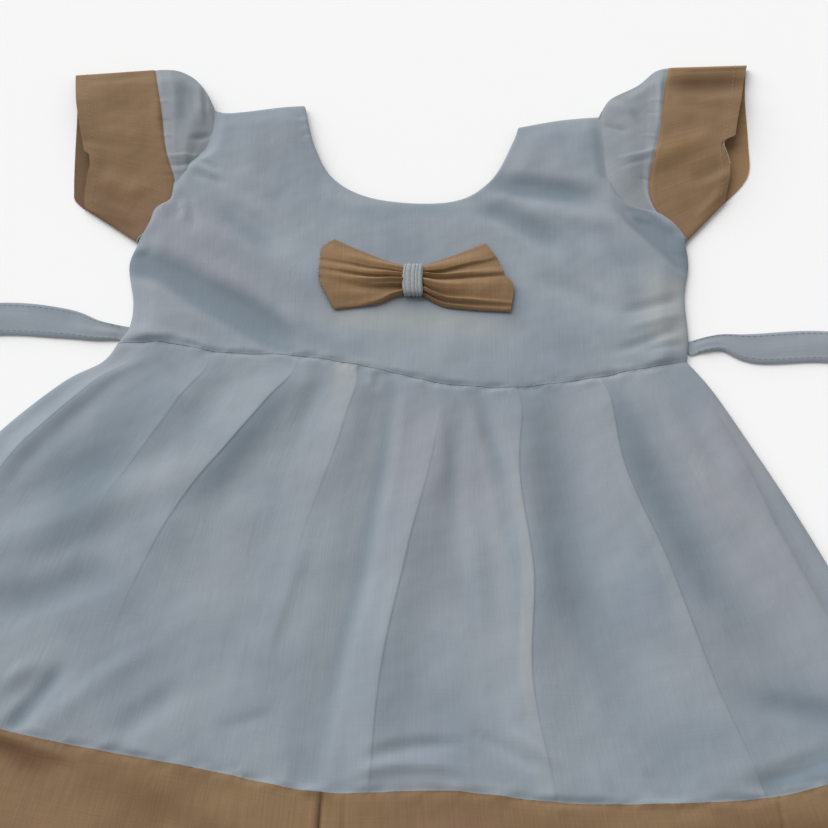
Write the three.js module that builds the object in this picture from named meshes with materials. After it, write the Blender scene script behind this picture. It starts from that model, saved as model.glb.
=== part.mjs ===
// A baby dress laid flat on its back: white bodice, cap sleeves, pleated skirt and waist ties,
// with tan sleeve bands, a tan hem band and a tan bow pinched by a white knot.
// Millimetres. The origin is at the middle of the waist, on the surface that the dress lies on.
// +X runs to the right as the front is seen, +Y towards the neck and +Z up out of the front.

import * as THREE from 'three';
import { mergeVertices } from 'three/addons/utils/BufferGeometryUtils.js';

// Cloth and gaps
const CLOTH = 1.2; // wall of every panel
const SEAM = 0.3; // gap between pieces that are sewn together
const FRONT_BED = CLOTH + SEAM; // underside of a front panel where it lies on the back
const SLEEVE_BED = FRONT_BED + CLOTH + SEAM; // underside of the bodice where it laps a sleeve
const FRONT_FACE = FRONT_BED + CLOTH; // lowest face of a front panel
const FOLD_BULGE = 0.5; // how far a folded edge rounds out past the panels' outline

// Loft of the front above the back
const BODICE_LOFT = SLEEVE_BED - FRONT_BED + 0.3;
const BODICE_EDGE = 12; // width over which the bodice comes down to its side seams
const SKIRT_LOFT = 1.8;
const SKIRT_EDGE = 26;
const SLEEVE_PUFF = 2.4; // how far the gathered cap of a sleeve stands up
const CUFF_GAPE = 2.4; // how far the upper layer of a cuff stands off the lower one
const WAIST_PINCH = 0.35; // share of a pleat's height that is left where the seam presses it
const PINCH_DEPTH = 0.1; // share of the skirt's length over which a pleat opens

// Pleats
const PLEAT_STEP = 1.6; // width over which a knife pleat's edge drops
const PLEAT_TROUGH = 0.25; // hollow beside a knife pleat, as a share of its height
const BAND_CALM = 0.35; // share of a pleat's height that is lost across the hem band

// Sleeves. Shares run down the sleeve from its top fold, and out along it from the armhole or the seam.
const PUFF_TOP = 0.12; // share over which the puff rises from the top fold
const PUFF_END = 0.62; // share at which it has come down again
const PUFF_FALL = 0.25;
const PUFF_START = 0.4; // share of the cap's length that lies flat under the bodice
const PUFF_RISE = 0.3;
const BAND_PUFF = 0.8; // share of the band's length over which the puff dies away
const GAPE_START = 0.35;
const GAPE_SIDE = 0.25; // share over which the gape closes at each fold
const LAP_START = 0.62; // share of the bodice's height from which it laps the sleeves
const LAP_RISE = 0.26;

// Back opening
const CENTRE_BACK = 4; // the centre-back slit's place along X

// Bow
const BOW_CLOTH = 1.5; // its cloth is doubled
const BOW_LIFT = 2.2; // height of a wing's middle over the bodice
const BOW_PLEAT = 2; // height of its pleats at the knot
const BOW_TIP_PLEAT = 0.15; // share of that height that is left at the tip
const BOW_SIDE = 0.2; // share of a wing's width over which its middle lifts from each edge
const KNOT = { centreX: 5.5, centreY: 47, width: 9.4, length: 19.5, height: 6.8, edge: 1.2 };

// Ties
const TIE_CLOTH = 1.5;
const TIE_CROWN = 0.5; // a tie is this much thicker along its middle

// Steps of the meshes
const SKIRT_ROWS = 12;
const BAND_ROWS = 3;
const SKIRT_COLUMN = 8; // widest column of the skirt at half its length
const BODICE_ROWS = [0, 0.12, 0.28, 0.44, 0.6, 0.74, 0.86, 0.94, 1];
const COLUMN_SPREAD = 0.25; // how evenly the bodice's columns stand along the waist, from 0 to 1
const SLEEVE_STEPS = 14;
const SLEEVE_RINGS = 5;
const TIE_STEPS = 30;
const BACK_STEPS = 14;

// Turns rows of values into objects with named columns
function table(columns, rows) {
  const names = columns.split(' ');
  return rows.map((row) => Object.fromEntries(names.map((name, k) => [name, row[k]])));
}

// Outline of the bodice, as it lies
const WAIST = table('x y', [
  [-131, 14], [-108, 12.5], [-82, 7], [-45, 5], [-12, -1.5], [20, -9.5], [52, -11.5], [90, -6], [131, 4],
]);
const SIDE_LEFT = table('x y', [[-131, 14.2], [-126.5, 23], [-126, 37], [-130, 58], [-127, 71]]);
const SIDE_RIGHT = table('x y', [[131, 4.2], [133, 17], [133.5, 40], [137, 58], [137, 71]]);
const ARMHOLE_LEFT = table('x y', [
  [-127, 71], [-122.5, 83], [-120.5, 91], [-113.5, 97.5], [-112.5, 112], [-107, 122.5], [-98, 131], [-97, 156],
]);
const SHOULDER_LEFT = table('x y', [[-97, 156], [-88, 153.5], [-62, 157.5], [-50, 158.5]]);
const NECKLINE = table('x y', [
  [-50, 158.5], [-44, 131], [-33, 109], [-11, 97], [24, 95.5], [44, 109], [56, 134], [59, 144],
]);
const SHOULDER_RIGHT = table('x y', [[59, 144], [80, 148.5], [101, 151]]);
const ARMHOLE_RIGHT = table('x y', [
  [101, 151], [101.5, 132], [103, 108], [110, 94.5], [125, 88.5], [134.5, 79], [137, 71],
]);

// The back panels' own edges: a plain armhole each side and a slightly deeper neckline
const BACK_ARMHOLE_LEFT = table('x y', [[-127, 71], [-113, 86], [-101, 106], [-96, 130], [-97, 156]]);
const BACK_ARMHOLE_RIGHT = table('x y', [[101, 151], [99, 128], [104, 103], [117, 85], [137, 71]]);
const BACK_NECK_LEFT = table('x y', [[-50, 158.5], [-45, 128], [-32, 103], [-12, 90], [CENTRE_BACK, 88]]);
const BACK_NECK_RIGHT = table('x y', [[CENTRE_BACK, 88], [24, 89], [44, 102], [55, 128], [59, 144]]);

// Edges of the skirt and its hem band, from left to right or from the waist down
const SKIRT_LEFT = table('x y', [
  [-131, 14], [-137, 4], [-154, -7], [-180, -34], [-197, -62], [-213, -97], [-231, -140],
]);
const SKIRT_RIGHT = table('x y', [[131, 4], [141, -11], [154.5, -38], [172.5, -77], [196, -134], [212, -176]]);
const BAND_SEAM = table('x y', [
  [-231, -140], [-190, -157], [-150, -170], [-77, -184], [-30, -193],
  [20, -192.5], [70, -197.5], [135, -196], [170, -189], [212, -176],
]);
const HEM = table('x y', [
  [-253, -196], [-190, -220], [-100, -241], [0, -251], [100, -254], [180, -246], [234, -232],
]);

// Pleats and soft folds of the skirt's front. Places run from 0 at the left edge to 1 at the right edge,
// given at the waist, half-way down and at the band; rises and spreads are millimetres.
// A knife pleat's edge faces right, and a line marked creased takes a row of mesh points.
const SKIRT_FOLDS = table('kind creased waist middle band riseWaist riseMiddle riseBand spread', [
  ['knife', true, 0.18, 0.175, 0.165, 2.4, 0.9, 0, 24],
  ['knife', true, 0.315, 0.257, 0.225, 3, 2.6, 0, 26],
  ['ridge', true, 0.385, 0.415, 0.4, 2, 1, 0.4, 13],
  ['valley', true, 0.48, 0.49, 0.47, 1.2, 3, 2.2, 17],
  ['ridge', true, 0.53, 0.525, 0.5, 1, 2.2, 1.8, 14],
  ['ridge', true, 0.615, 0.63, 0.635, 1.6, 1.1, 0.6, 12],
  ['knife', true, 0.7, 0.668, 0.655, 2.6, 3, 1.6, 22],
  ['valley', false, 0.7, 0.708, 0.77, 0.4, 1.2, 1.2, 24],
  ['knife', true, 0.838, 0.82, 0.833, 2.8, 3.4, 1.8, 27],
  ['valley', false, 0.85, 0.87, 0.93, 0.6, 1.2, 1, 20],
  ['valley', true, 0.88, 0.92, 0.95, 1.2, 0.6, 0, 12],
  ['ridge', false, 0.48, 0.19, -0.1, 0, 1.6, 0, 28],
]);

// Broad soft hollows in the front of the bodice: centre, direction in degrees, half-lengths and depth
const BODICE_HOLLOWS = table('x y turn along across depth', [
  [-88, 62, -24, 46, 14, 0.9],
  [-62, 98, -45, 24, 9, 0.6],
  [84, 96, -40, 22, 9, 0.6],
  [112, 62, 62, 26, 9, 0.6],
]);

// Sleeves, each curve from the top fold down to the underarm. The upper layer's inner edge lies
// under the bodice, and the upper cuff edge has the step where the band's hem has come apart.
const SLEEVES = {
  left: {
    upper: {
      armhole: table('x y', [[-97.6, 156.3], [-94.6, 148], [-93, 133], [-102, 119], [-106, 101], [-115, 87], [-127.6, 71.8]]),
      seam: table('x y', [[-129, 183], [-123, 155], [-118, 127], [-112, 107], [-113, 95], [-120, 84], [-129.4, 73]]),
      cuff: table('x y', [
        [-170, 179], [-165, 152], [-159.5, 127], [-155.8, 123], [-155.2, 112], [-156.5, 102], [-155, 91],
      ]),
    },
    lower: {
      armhole: table('x y', [[-97.6, 156.3], [-96.5, 130], [-101.5, 106], [-113.5, 86], [-127.6, 71.8]]),
      seam: table('x y', [[-129, 183], [-122, 150], [-118, 118], [-121, 92], [-129.4, 73]]),
      cuff: table('x y', [[-170, 179], [-166, 150], [-162.5, 120], [-160.5, 98], [-155, 91]]),
    },
    top: table('x y', [[-97.6, 156.3], [-101.5, 167.5], [-108.5, 177], [-118, 182.5], [-129, 183]]),
    bandTop: table('x y', [[-129, 183], [-170, 179]]),
    bandBottom: table('x y', [[-129.4, 73], [-155, 91]]),
  },
  right: {
    upper: {
      armhole: table('x y', [[101.6, 151.3], [97.5, 140], [97.5, 120], [99, 104], [106, 90.5], [120, 83], [137.6, 71.8]]),
      seam: table('x y', [[139, 184.5], [134.5, 165], [129.5, 137], [123.5, 114], [122, 99], [127, 86], [139.2, 73.6]]),
      cuff: table('x y', [
        [180, 186], [176.5, 168], [171, 145], [168.4, 137], [161.6, 131.5], [163.8, 116], [158, 98],
      ]),
    },
    lower: {
      armhole: table('x y', [[101.6, 151.3], [99.6, 128], [104.6, 103], [117.4, 85.5], [137.6, 71.8]]),
      seam: table('x y', [[139, 184.5], [133, 155], [127, 122], [128, 94], [139.2, 73.6]]),
      cuff: table('x y', [[180, 186], [177, 165], [174.5, 130], [172.5, 113], [158, 98]]),
    },
    top: table('x y', [[101.6, 151.3], [106.5, 162], [122, 172], [131.5, 181.5], [139, 184.5]]),
    bandTop: table('x y', [[139, 184.5], [180, 186]]),
    bandBottom: table('x y', [[139.2, 73.6], [158, 98]]),
  },
};

// Wings of the bow, from the knot outwards
const BOW = {
  left: {
    knot: table('x y', [[0.4, 56], [0.4, 47], [0.4, 38]]),
    tip: table('x y', [[-31, 71], [-37.5, 60], [-37.5, 48], [-30, 30.5]]),
    upper: table('x y', [[0.4, 56], [-15, 62.5], [-31, 71]]),
    lower: table('x y', [[0.4, 38], [-8, 34.5], [-30, 30.5]]),
  },
  right: {
    knot: table('x y', [[10.6, 56], [10.6, 47], [10.6, 38]]),
    tip: table('x y', [[40, 69], [46.5, 56], [52, 43.5], [49, 28.5]]),
    upper: table('x y', [[10.6, 56], [24, 61.5], [40, 69]]),
    lower: table('x y', [[10.6, 38], [24, 31], [49, 28.5]]),
  },
};
const BOW_PLEATS = table('place spread', [[0.16, 0.14], [0.44, 0.12], [0.72, 0.13], [0.93, 0.1]]);

// The ties' middle lines from the side seams outwards, with their widths, and round outside the skirt
const TIE_LEFT = table('x y width', [
  [-129.7, 20.2, 8], [-142, 22, 12], [-158, 26, 16], [-187, 28.5, 18], [-230, 24, 18], [-266, -4, 18],
  [-282, -55, 18], [-288, -110, 18], [-298, -165, 18], [-302, -228, 18],
]);
const TIE_RIGHT = table('x y width', [
  [134.1, 12.2, 8], [148, 15.2, 9], [164, 12, 16], [197, 13, 17], [240, 6, 18], [270, -24, 18],
  [283, -75, 18], [281, -130, 18], [272, -185, 18], [272, -236, 18],
]);

// Small mathematics

function mix(a, b, share) {
  return a + (b - a) * share;
}

function smooth(value) {
  const share = Math.min(1, Math.max(0, value));
  return share * share * (3 - 2 * share);
}

// A value given at the start, half-way and at the end
function through(start, middle, end, share) {
  return start * (1 - share) * (1 - 2 * share) + middle * 4 * share * (1 - share) + end * share * (2 * share - 1);
}

// A smooth curve through a table's points, read by its share of length. Its beside function reads
// a line that runs along it, at a distance to its left.
function curve(rows) {
  const spline = new THREE.SplineCurve(rows.map((row) => new THREE.Vector2(row.x, row.y)));
  spline.arcLengthDivisions = 400;
  const at = (share) => spline.getPointAt(Math.min(1, Math.max(0, share)));
  at.beside = (share, distance) => {
    const tangent = spline.getTangentAt(share);
    return at(share).add(new THREE.Vector2(-tangent.y, tangent.x).multiplyScalar(distance));
  };
  return at;
}

// A patch filled in between four edges that meet at their ends
function patch(start, end, left, right) {
  return (across, along) => {
    const ruled = start(across).clone().lerp(end(across), along);
    const sides = left(along).clone().lerp(right(along), across);
    const corners = start(0).clone().lerp(start(1), across).lerp(end(0).clone().lerp(end(1), across), along);
    return ruled.add(sides).sub(corners);
  };
}

function evenly(steps) {
  return Array.from({ length: steps + 1 }, (_, k) => k / steps);
}

// Closed bodies

function signedVolume(points, index) {
  let volume = 0;
  for (let k = 0; k < index.length; k += 3) {
    const [a, b, c] = [points[index[k]], points[index[k + 1]], points[index[k + 2]]];
    volume += a.clone().cross(b).dot(c) / 6;
  }
  return volume;
}

// Makes a geometry from points and quads, turned the right way out
function body(points, quads) {
  const index = quads.flatMap(([a, b, c, d]) => [a, b, c, a, c, d]);
  const outward = signedVolume(points, index) > 0 ? index : index.slice().reverse();
  const geometry = new THREE.BufferGeometry().setFromPoints(points);
  geometry.setIndex(outward);
  geometry.computeVertexNormals();
  return geometry;
}

// The under face of a wall: set in along the face's slope, and straight down along its rim
function underFace(face, wall) {
  const lastRow = face.length - 1;
  return face.map((row, i) => row.map((point, j) => {
    if (i === 0 || i === lastRow || j === 0 || j === row.length - 1) {
      return point.clone().setZ(point.z - wall);
    }
    const across = row[j + 1].clone().sub(row[j - 1]);
    const along = face[i + 1][j].clone().sub(face[i - 1][j]);
    const normal = across.cross(along).normalize();
    return point.clone().addScaledVector(normal, normal.z > 0 ? -wall : wall);
  }));
}

// A wall between two faces that have the same rows and columns of points
function wall(upper, lower) {
  const rows = upper.length;
  const columns = upper[0].length;
  const points = [...upper.flat(), ...lower.flat()];
  const up = (i, j) => i * columns + j;
  const down = (i, j) => rows * columns + up(i, j);
  const quads = [];
  for (let i = 0; i < rows - 1; i += 1) {
    for (let j = 0; j < columns - 1; j += 1) {
      quads.push([up(i, j), up(i + 1, j), up(i + 1, j + 1), up(i, j + 1)]);
      quads.push([down(i, j), down(i, j + 1), down(i + 1, j + 1), down(i + 1, j)]);
    }
    quads.push([up(i, 0), down(i, 0), down(i + 1, 0), up(i + 1, 0)]);
    quads.push([up(i + 1, columns - 1), down(i + 1, columns - 1), down(i, columns - 1), up(i, columns - 1)]);
  }
  for (let j = 0; j < columns - 1; j += 1) {
    quads.push([up(0, j + 1), down(0, j + 1), down(0, j), up(0, j)]);
    quads.push([up(rows - 1, j), down(rows - 1, j), down(rows - 1, j + 1), up(rows - 1, j + 1)]);
  }
  return body(points, quads);
}

// A tube pressed flat: an upper and a lower layer that meet in a fold along each side, open at both ends
function flatTube(upper, lower, face, rings) {
  const steps = evenly(SLEEVE_STEPS);
  const loop = (ring, inset) => {
    const span = upper(0, ring).distanceTo(upper(1, ring));
    const shares = steps.map((step) => mix(inset / span, 1 - inset / span, step));
    const wallZ = inset > 0 ? CLOTH : 0;
    const lift = (share) => face(share, ring) - wallZ;
    const over = shares.map((share) => {
      const place = upper(share, ring);
      return new THREE.Vector3(place.x, place.y, lift(share));
    });
    const under = shares.map((share) => {
      const place = lower(share, ring);
      return new THREE.Vector3(place.x, place.y, wallZ);
    });
    const foldAt = (first, second) => {
      const outwards = over[first].clone().sub(over[second]).setZ(0).normalize();
      const middle = over[first].clone().add(under[first]).multiplyScalar(0.5);
      return middle.addScaledVector(outwards, FOLD_BULGE);
    };
    const last = steps.length - 1;
    return [foldAt(0, 1), ...over, foldAt(last, last - 1), ...under.reverse()];
  };
  const outer = rings.map((ring) => loop(ring, 0));
  const inner = rings.map((ring) => loop(ring, CLOTH));
  const count = outer[0].length;
  const points = [...outer.flat(), ...inner.flat()];
  const out = (i, k) => i * count + (k % count);
  const inn = (i, k) => rings.length * count + out(i, k);
  const quads = [];
  for (let k = 0; k < count; k += 1) {
    for (let i = 0; i < rings.length - 1; i += 1) {
      quads.push([out(i, k), out(i + 1, k), out(i + 1, k + 1), out(i, k + 1)]);
      quads.push([inn(i, k + 1), inn(i + 1, k + 1), inn(i + 1, k), inn(i, k)]);
    }
    const end = rings.length - 1;
    quads.push([out(0, k + 1), inn(0, k + 1), inn(0, k), out(0, k)]);
    quads.push([out(end, k), inn(end, k), inn(end, k + 1), out(end, k + 1)]);
  }
  return body(points, quads);
}

// A flat panel of cloth on the table, from the points of its outline
function flatPanel(outline) {
  const shape = new THREE.Shape(outline);
  return new THREE.ExtrudeGeometry(shape, { depth: CLOTH, bevelEnabled: false });
}

// Skirt

const waist = curve(WAIST);
const bandSeam = curve(BAND_SEAM);
const hem = curve(HEM);
const skirtLeft = curve(SKIRT_LEFT);
const skirtRight = curve(SKIRT_RIGHT);
const skirtPlan = patch(waist, bandSeam, skirtLeft, skirtRight);

function bandPlan(across, along) {
  return bandSeam(across).clone().lerp(hem(across), along);
}

function foldPlace(fold, along) {
  return through(fold.waist, fold.middle, fold.band, along);
}

// Height of one fold's section at a distance across it, as a share of its rise
function foldSection(kind, distance, spread) {
  if (kind !== 'knife') {
    return (kind === 'ridge' ? 1 : -1) * smooth(1 - Math.abs(distance) / spread);
  }
  if (distance <= 0) return smooth(1 + distance / spread);
  if (distance < PLEAT_STEP) return mix(1, -PLEAT_TROUGH, distance / PLEAT_STEP);
  return -PLEAT_TROUGH * smooth(1 - (distance - PLEAT_STEP) / spread);
}

// Height of the skirt's face. Places past 1 along it lie on the hem band.
function skirtFace(across, along) {
  const length = Math.min(1, along);
  const width = skirtLeft(length).distanceTo(skirtRight(length));
  const opening = mix(WAIST_PINCH, 1, smooth(along / PINCH_DEPTH)) * (1 - BAND_CALM * Math.max(0, along - 1));
  const loft = SKIRT_LOFT * smooth((Math.min(across, 1 - across) * width) / SKIRT_EDGE);
  const folds = SKIRT_FOLDS.reduce((sum, fold) => {
    const rise = Math.max(0, through(fold.riseWaist, fold.riseMiddle, fold.riseBand, length));
    return sum + rise * foldSection(fold.kind, (across - foldPlace(fold, length)) * width, fold.spread);
  }, 0);
  const edge = smooth((Math.min(across, 1 - across) * width) / SKIRT_EDGE);
  return FRONT_FACE + Math.max(0, loft + folds * opening * edge);
}

// Columns of the skirt's mesh at one row: on every creased line, at a knife pleat's foot, and between
function skirtColumns(along) {
  const length = Math.min(1, along);
  const widthAt = (share) => skirtLeft(share).distanceTo(skirtRight(share));
  const lines = SKIRT_FOLDS.filter((fold) => fold.creased).flatMap((fold) => {
    const line = { place: foldPlace(fold, length), half: foldPlace(fold, 0.5) };
    if (fold.kind !== 'knife') return [line];
    const foot = { place: line.place + PLEAT_STEP / widthAt(length), half: line.half + PLEAT_STEP / widthAt(0.5) };
    return [line, foot];
  });
  const marks = [{ place: 0, half: 0 }, ...lines, { place: 1, half: 1 }];
  return marks.flatMap((mark, k) => {
    if (k === 0) return [mark.place];
    const before = marks[k - 1];
    const steps = Math.ceil(((mark.half - before.half) * widthAt(0.5)) / SKIRT_COLUMN);
    return evenly(steps).slice(1).map((share) => mix(before.place, mark.place, share));
  });
}

const belowWaist = (share) => waist.beside(share, -SEAM / 2);
const aboveBand = (share) => bandSeam.beside(share, SEAM / 2);
const belowBand = (share) => bandSeam.beside(share, -SEAM / 2);

// A front panel from its plan, with its first and last rows moved to the lines that it is sewn along
function frontPanel(rows, columns, plan, firstRow, lastRow, startAlong) {
  const face = evenly(rows).map((along) => columns(along).map((across) => {
    const inner = along === 0 ? firstRow(across) : plan(across, along);
    const place = along === 1 ? lastRow(across) : inner;
    return new THREE.Vector3(place.x, place.y, skirtFace(across, startAlong + along));
  }));
  return wall(face, underFace(face, CLOTH));
}

function skirtFront() {
  return frontPanel(SKIRT_ROWS, skirtColumns, skirtPlan, belowWaist, aboveBand, 0);
}

function bandFront() {
  return frontPanel(BAND_ROWS, () => skirtColumns(1), bandPlan, belowBand, hem, 1);
}

// A back panel between its first and last edges and its two sides, which have a number of steps
function backPanel(first, last, left, right, sideSteps) {
  const across = evenly(2 * BACK_STEPS);
  const down = evenly(sideSteps).slice(1, -1);
  return flatPanel([
    ...across.map((share) => first(share)),
    ...down.map((share) => right(share)),
    ...across.map((share) => last(1 - share)),
    ...down.map((share) => left(1 - share)),
  ]);
}

function skirtBack() {
  return backPanel(belowWaist, aboveBand, skirtLeft, skirtRight, BACK_STEPS);
}

function bandBack() {
  return backPanel(belowBand, hem, skirtLeft, skirtRight, 1);
}

// Bodice

function hollows(x, y) {
  return BODICE_HOLLOWS.reduce((sum, hollow) => {
    const turn = THREE.MathUtils.degToRad(hollow.turn);
    const along = (x - hollow.x) * Math.cos(turn) + (y - hollow.y) * Math.sin(turn);
    const across = (y - hollow.y) * Math.cos(turn) - (x - hollow.x) * Math.sin(turn);
    return sum + hollow.depth * smooth(1 - Math.hypot(along / hollow.along, across / hollow.across));
  }, 0);
}

// Height of the bodice's face away from its edges
function bodiceFace(x, y) {
  return FRONT_FACE + BODICE_LOFT - hollows(x, y);
}

// The upper edge of the front in five stretches: it laps the sleeves at full height along the
// armholes and comes down towards the back along the shoulders and the neckline.
const BODICE_TOP = [
  { edge: curve(ARMHOLE_LEFT), steps: 14, drop: 0 },
  { edge: curve(SHOULDER_LEFT), steps: 5, drop: 1 },
  { edge: curve(NECKLINE), steps: 18, drop: 0.6 },
  { edge: curve(SHOULDER_RIGHT), steps: 5, drop: 1 },
  { edge: curve(ARMHOLE_RIGHT), steps: 12, drop: 0 },
];

function bodiceFront() {
  const left = curve(SIDE_LEFT);
  const right = curve(SIDE_RIGHT);
  const tops = BODICE_TOP.flatMap((stretch, k) => evenly(stretch.steps).slice(k === 0 ? 0 : 1).map((share) => {
    const corner = smooth(Math.min(share, 1 - share) * stretch.steps);
    return { place: stretch.edge(share), drop: stretch.drop * corner };
  }));
  const lowX = tops[0].place.x;
  const highX = tops[tops.length - 1].place.x;
  const face = BODICE_ROWS.map((along) => tops.map((top, j) => {
    const across = mix((top.place.x - lowX) / (highX - lowX), j / (tops.length - 1), COLUMN_SPREAD);
    const foot = waist.beside(across, SEAM / 2);
    const ruled = foot.clone().lerp(top.place, along);
    const bowLeft = left(along).clone().sub(left(0).clone().lerp(left(1), along));
    const bowRight = right(along).clone().sub(right(0).clone().lerp(right(1), along));
    const place = ruled.addScaledVector(bowLeft, smooth(1 - 4 * across)).addScaledVector(bowRight, smooth(4 * across - 3));
    const sideDistance = Math.min(across, 1 - across) * (highX - lowX);
    const lap = smooth((along - LAP_START) / LAP_RISE);
    const side = Math.max(smooth(sideDistance / BODICE_EDGE), lap);
    const topDistance = top.place.distanceTo(place);
    const edge = 1 - top.drop * smooth(1 - topDistance / BODICE_EDGE);
    const loft = bodiceFace(place.x, place.y) - FRONT_FACE;
    return new THREE.Vector3(place.x, place.y, FRONT_FACE + loft * side * edge);
  }));
  return wall(face, underFace(face, CLOTH));
}

// Half of the bodice's back, with the points of its edges in order round it
function bodiceBack(edges, towards) {
  const outline = edges.flatMap((edge, k) => evenly(BACK_STEPS).slice(k === 0 ? 0 : 1).map((share) => edge(share)));
  const reach = CENTRE_BACK - (towards * SEAM) / 2;
  return flatPanel(outline.map((point) => {
    const x = towards > 0 ? Math.min(point.x, reach) : Math.max(point.x, reach);
    return new THREE.Vector2(x, point.y);
  }));
}

// A stretch of the line just above the waist seam, between two shares of its length
function aboveWaist(start, end) {
  return (share) => waist.beside(mix(start, end, share), SEAM / 2);
}

// The share of the waist's length where it crosses the centre back
function waistAtCentre() {
  let low = 0;
  let high = 1;
  for (let k = 0; k < 30; k += 1) {
    const middle = (low + high) / 2;
    if (waist(middle).x < CENTRE_BACK) low = middle;
    else high = middle;
  }
  return low;
}

function bodiceBackLeft() {
  const centre = waistAtCentre();
  return bodiceBack([
    aboveWaist(centre, 0),
    curve(SIDE_LEFT),
    curve(BACK_ARMHOLE_LEFT),
    curve(SHOULDER_LEFT),
    curve(BACK_NECK_LEFT),
  ], 1);
}

function bodiceBackRight() {
  const centre = waistAtCentre();
  return bodiceBack([
    curve(BACK_NECK_RIGHT),
    curve(SHOULDER_RIGHT),
    curve(BACK_ARMHOLE_RIGHT),
    (share) => curve(SIDE_RIGHT)(1 - share),
    aboveWaist(1, centre),
  ], -1);
}

// Sleeves

// How far the gathers lift the sleeve beside the seam of its band, down from the top fold
function sleevePuff(share) {
  return SLEEVE_PUFF * smooth(share / PUFF_TOP) * smooth((PUFF_END - share) / PUFF_FALL);
}

// The white cap of a sleeve, from the armhole to the seam of its band
function sleeveCap(side) {
  const straight = (share) => {
    const low = side.upper.armhole[side.upper.armhole.length - 1];
    const high = side.upper.seam[side.upper.seam.length - 1];
    return new THREE.Vector2(mix(low.x, high.x, share), mix(low.y, high.y, share));
  };
  const layer = (edges) => {
    const plan = patch(curve(edges.armhole), curve(edges.seam), curve(side.top), straight);
    return (share, ring) => plan(share, ring);
  };
  const face = (share, ring) => {
    return FRONT_FACE + sleevePuff(share) * smooth((ring - PUFF_START) / PUFF_RISE);
  };
  const gap = SEAM / 2 / side.upper.seam.length;
  return flatTube(layer(side.upper), layer(side.lower), face, evenly(SLEEVE_RINGS).map((ring) => ring * (1 - gap)));
}

// The tan band of a sleeve, from its seam to the cuff
function sleeveBand(side) {
  const layer = (edges) => patch(curve(edges.seam), curve(edges.cuff), curve(side.bandTop), curve(side.bandBottom));
  const face = (share, ring) => {
    const opening = smooth(share / GAPE_SIDE) * smooth((1 - share) / GAPE_SIDE);
    const gape = CUFF_GAPE * smooth((ring - GAPE_START) / (1 - GAPE_START)) * opening;
    return FRONT_FACE + sleevePuff(share) * (1 - smooth(ring / BAND_PUFF)) + gape;
  };
  const gap = SEAM / 2 / side.upper.seam.length;
  return flatTube(layer(side.upper), layer(side.lower), face, evenly(SLEEVE_RINGS).map((ring) => mix(gap, 1, ring)));
}

// Bow

function bowWing(side) {
  const plan = patch(curve(side.knot), curve(side.tip), curve(side.upper), curve(side.lower));
  const shares = evenly(16);
  const face = evenly(7).map((out) => shares.map((down) => {
    const place = plan(down, out);
    const pleats = BOW_PLEATS.reduce((sum, pleat) => sum + smooth(1 - Math.abs(down - pleat.place) / pleat.spread), 0);
    const crown = smooth(down / BOW_SIDE) * smooth((1 - down) / BOW_SIDE);
    const lift = BOW_LIFT * crown * smooth(1.7 - 1.6 * out);
    const height = SEAM + BOW_CLOTH + lift + BOW_PLEAT * pleats * mix(1, BOW_TIP_PLEAT, smooth(1.2 * out));
    return new THREE.Vector3(place.x, place.y, bodiceFace(place.x, place.y) + height);
  }));
  return wall(face, underFace(face, BOW_CLOTH));
}

function bowKnot() {
  const half = KNOT.length / 2 - KNOT.edge;
  const crown = KNOT.height - 2 * KNOT.edge;
  const arch = new THREE.Shape();
  arch.moveTo(-half, 0);
  arch.lineTo(half, 0);
  arch.bezierCurveTo(half, crown * 0.8, half * 0.6, crown, 0, crown);
  arch.bezierCurveTo(-half * 0.6, crown, -half, crown * 0.8, -half, 0);
  const geometry = new THREE.ExtrudeGeometry(arch, {
    depth: KNOT.width - 2 * KNOT.edge,
    bevelThickness: KNOT.edge,
    bevelSize: KNOT.edge,
    bevelSegments: 2,
    curveSegments: 8,
  });
  geometry.translate(0, 0, KNOT.edge - KNOT.width / 2);
  geometry.rotateX(Math.PI / 2);
  geometry.rotateZ(Math.PI / 2);
  const seat = bodiceFace(KNOT.centreX, KNOT.centreY) + SEAM + KNOT.edge;
  geometry.translate(KNOT.centreX, KNOT.centreY, seat);
  return geometry;
}

// Ties

function tie(rows) {
  const middle = new THREE.CatmullRomCurve3(rows.map((row) => new THREE.Vector3(row.x, row.y, row.width)));
  middle.curveType = 'catmullrom';
  const across = [-1, 0, 1];
  const upper = evenly(TIE_STEPS).map((share) => {
    const place = middle.getPoint(share);
    const tangent = middle.getTangent(share).setZ(0).normalize();
    return across.map((side) => new THREE.Vector3(
      place.x - (tangent.y * side * place.z) / 2,
      place.y + (tangent.x * side * place.z) / 2,
      TIE_CLOTH + TIE_CROWN * (1 - side * side),
    ));
  });
  const lower = upper.map((row) => row.map((point) => point.clone().setZ(0)));
  return wall(upper, lower);
}

// Materials

const whiteCotton = () => new THREE.MeshStandardMaterial({ color: 0x959ca5, roughness: 0.9, metalness: 0 });
const tanCotton = () => new THREE.MeshStandardMaterial({ color: 0x846b52, roughness: 0.85, metalness: 0 });

const dress = new THREE.Group();

function add(name, geometry, material) {
  geometry.deleteAttribute('normal');
  if (geometry.attributes.uv) geometry.deleteAttribute('uv');
  const closed = mergeVertices(geometry, 1e-3);
  closed.computeVertexNormals();
  const mesh = new THREE.Mesh(closed, material);
  mesh.name = name;
  dress.add(mesh);
}

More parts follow.
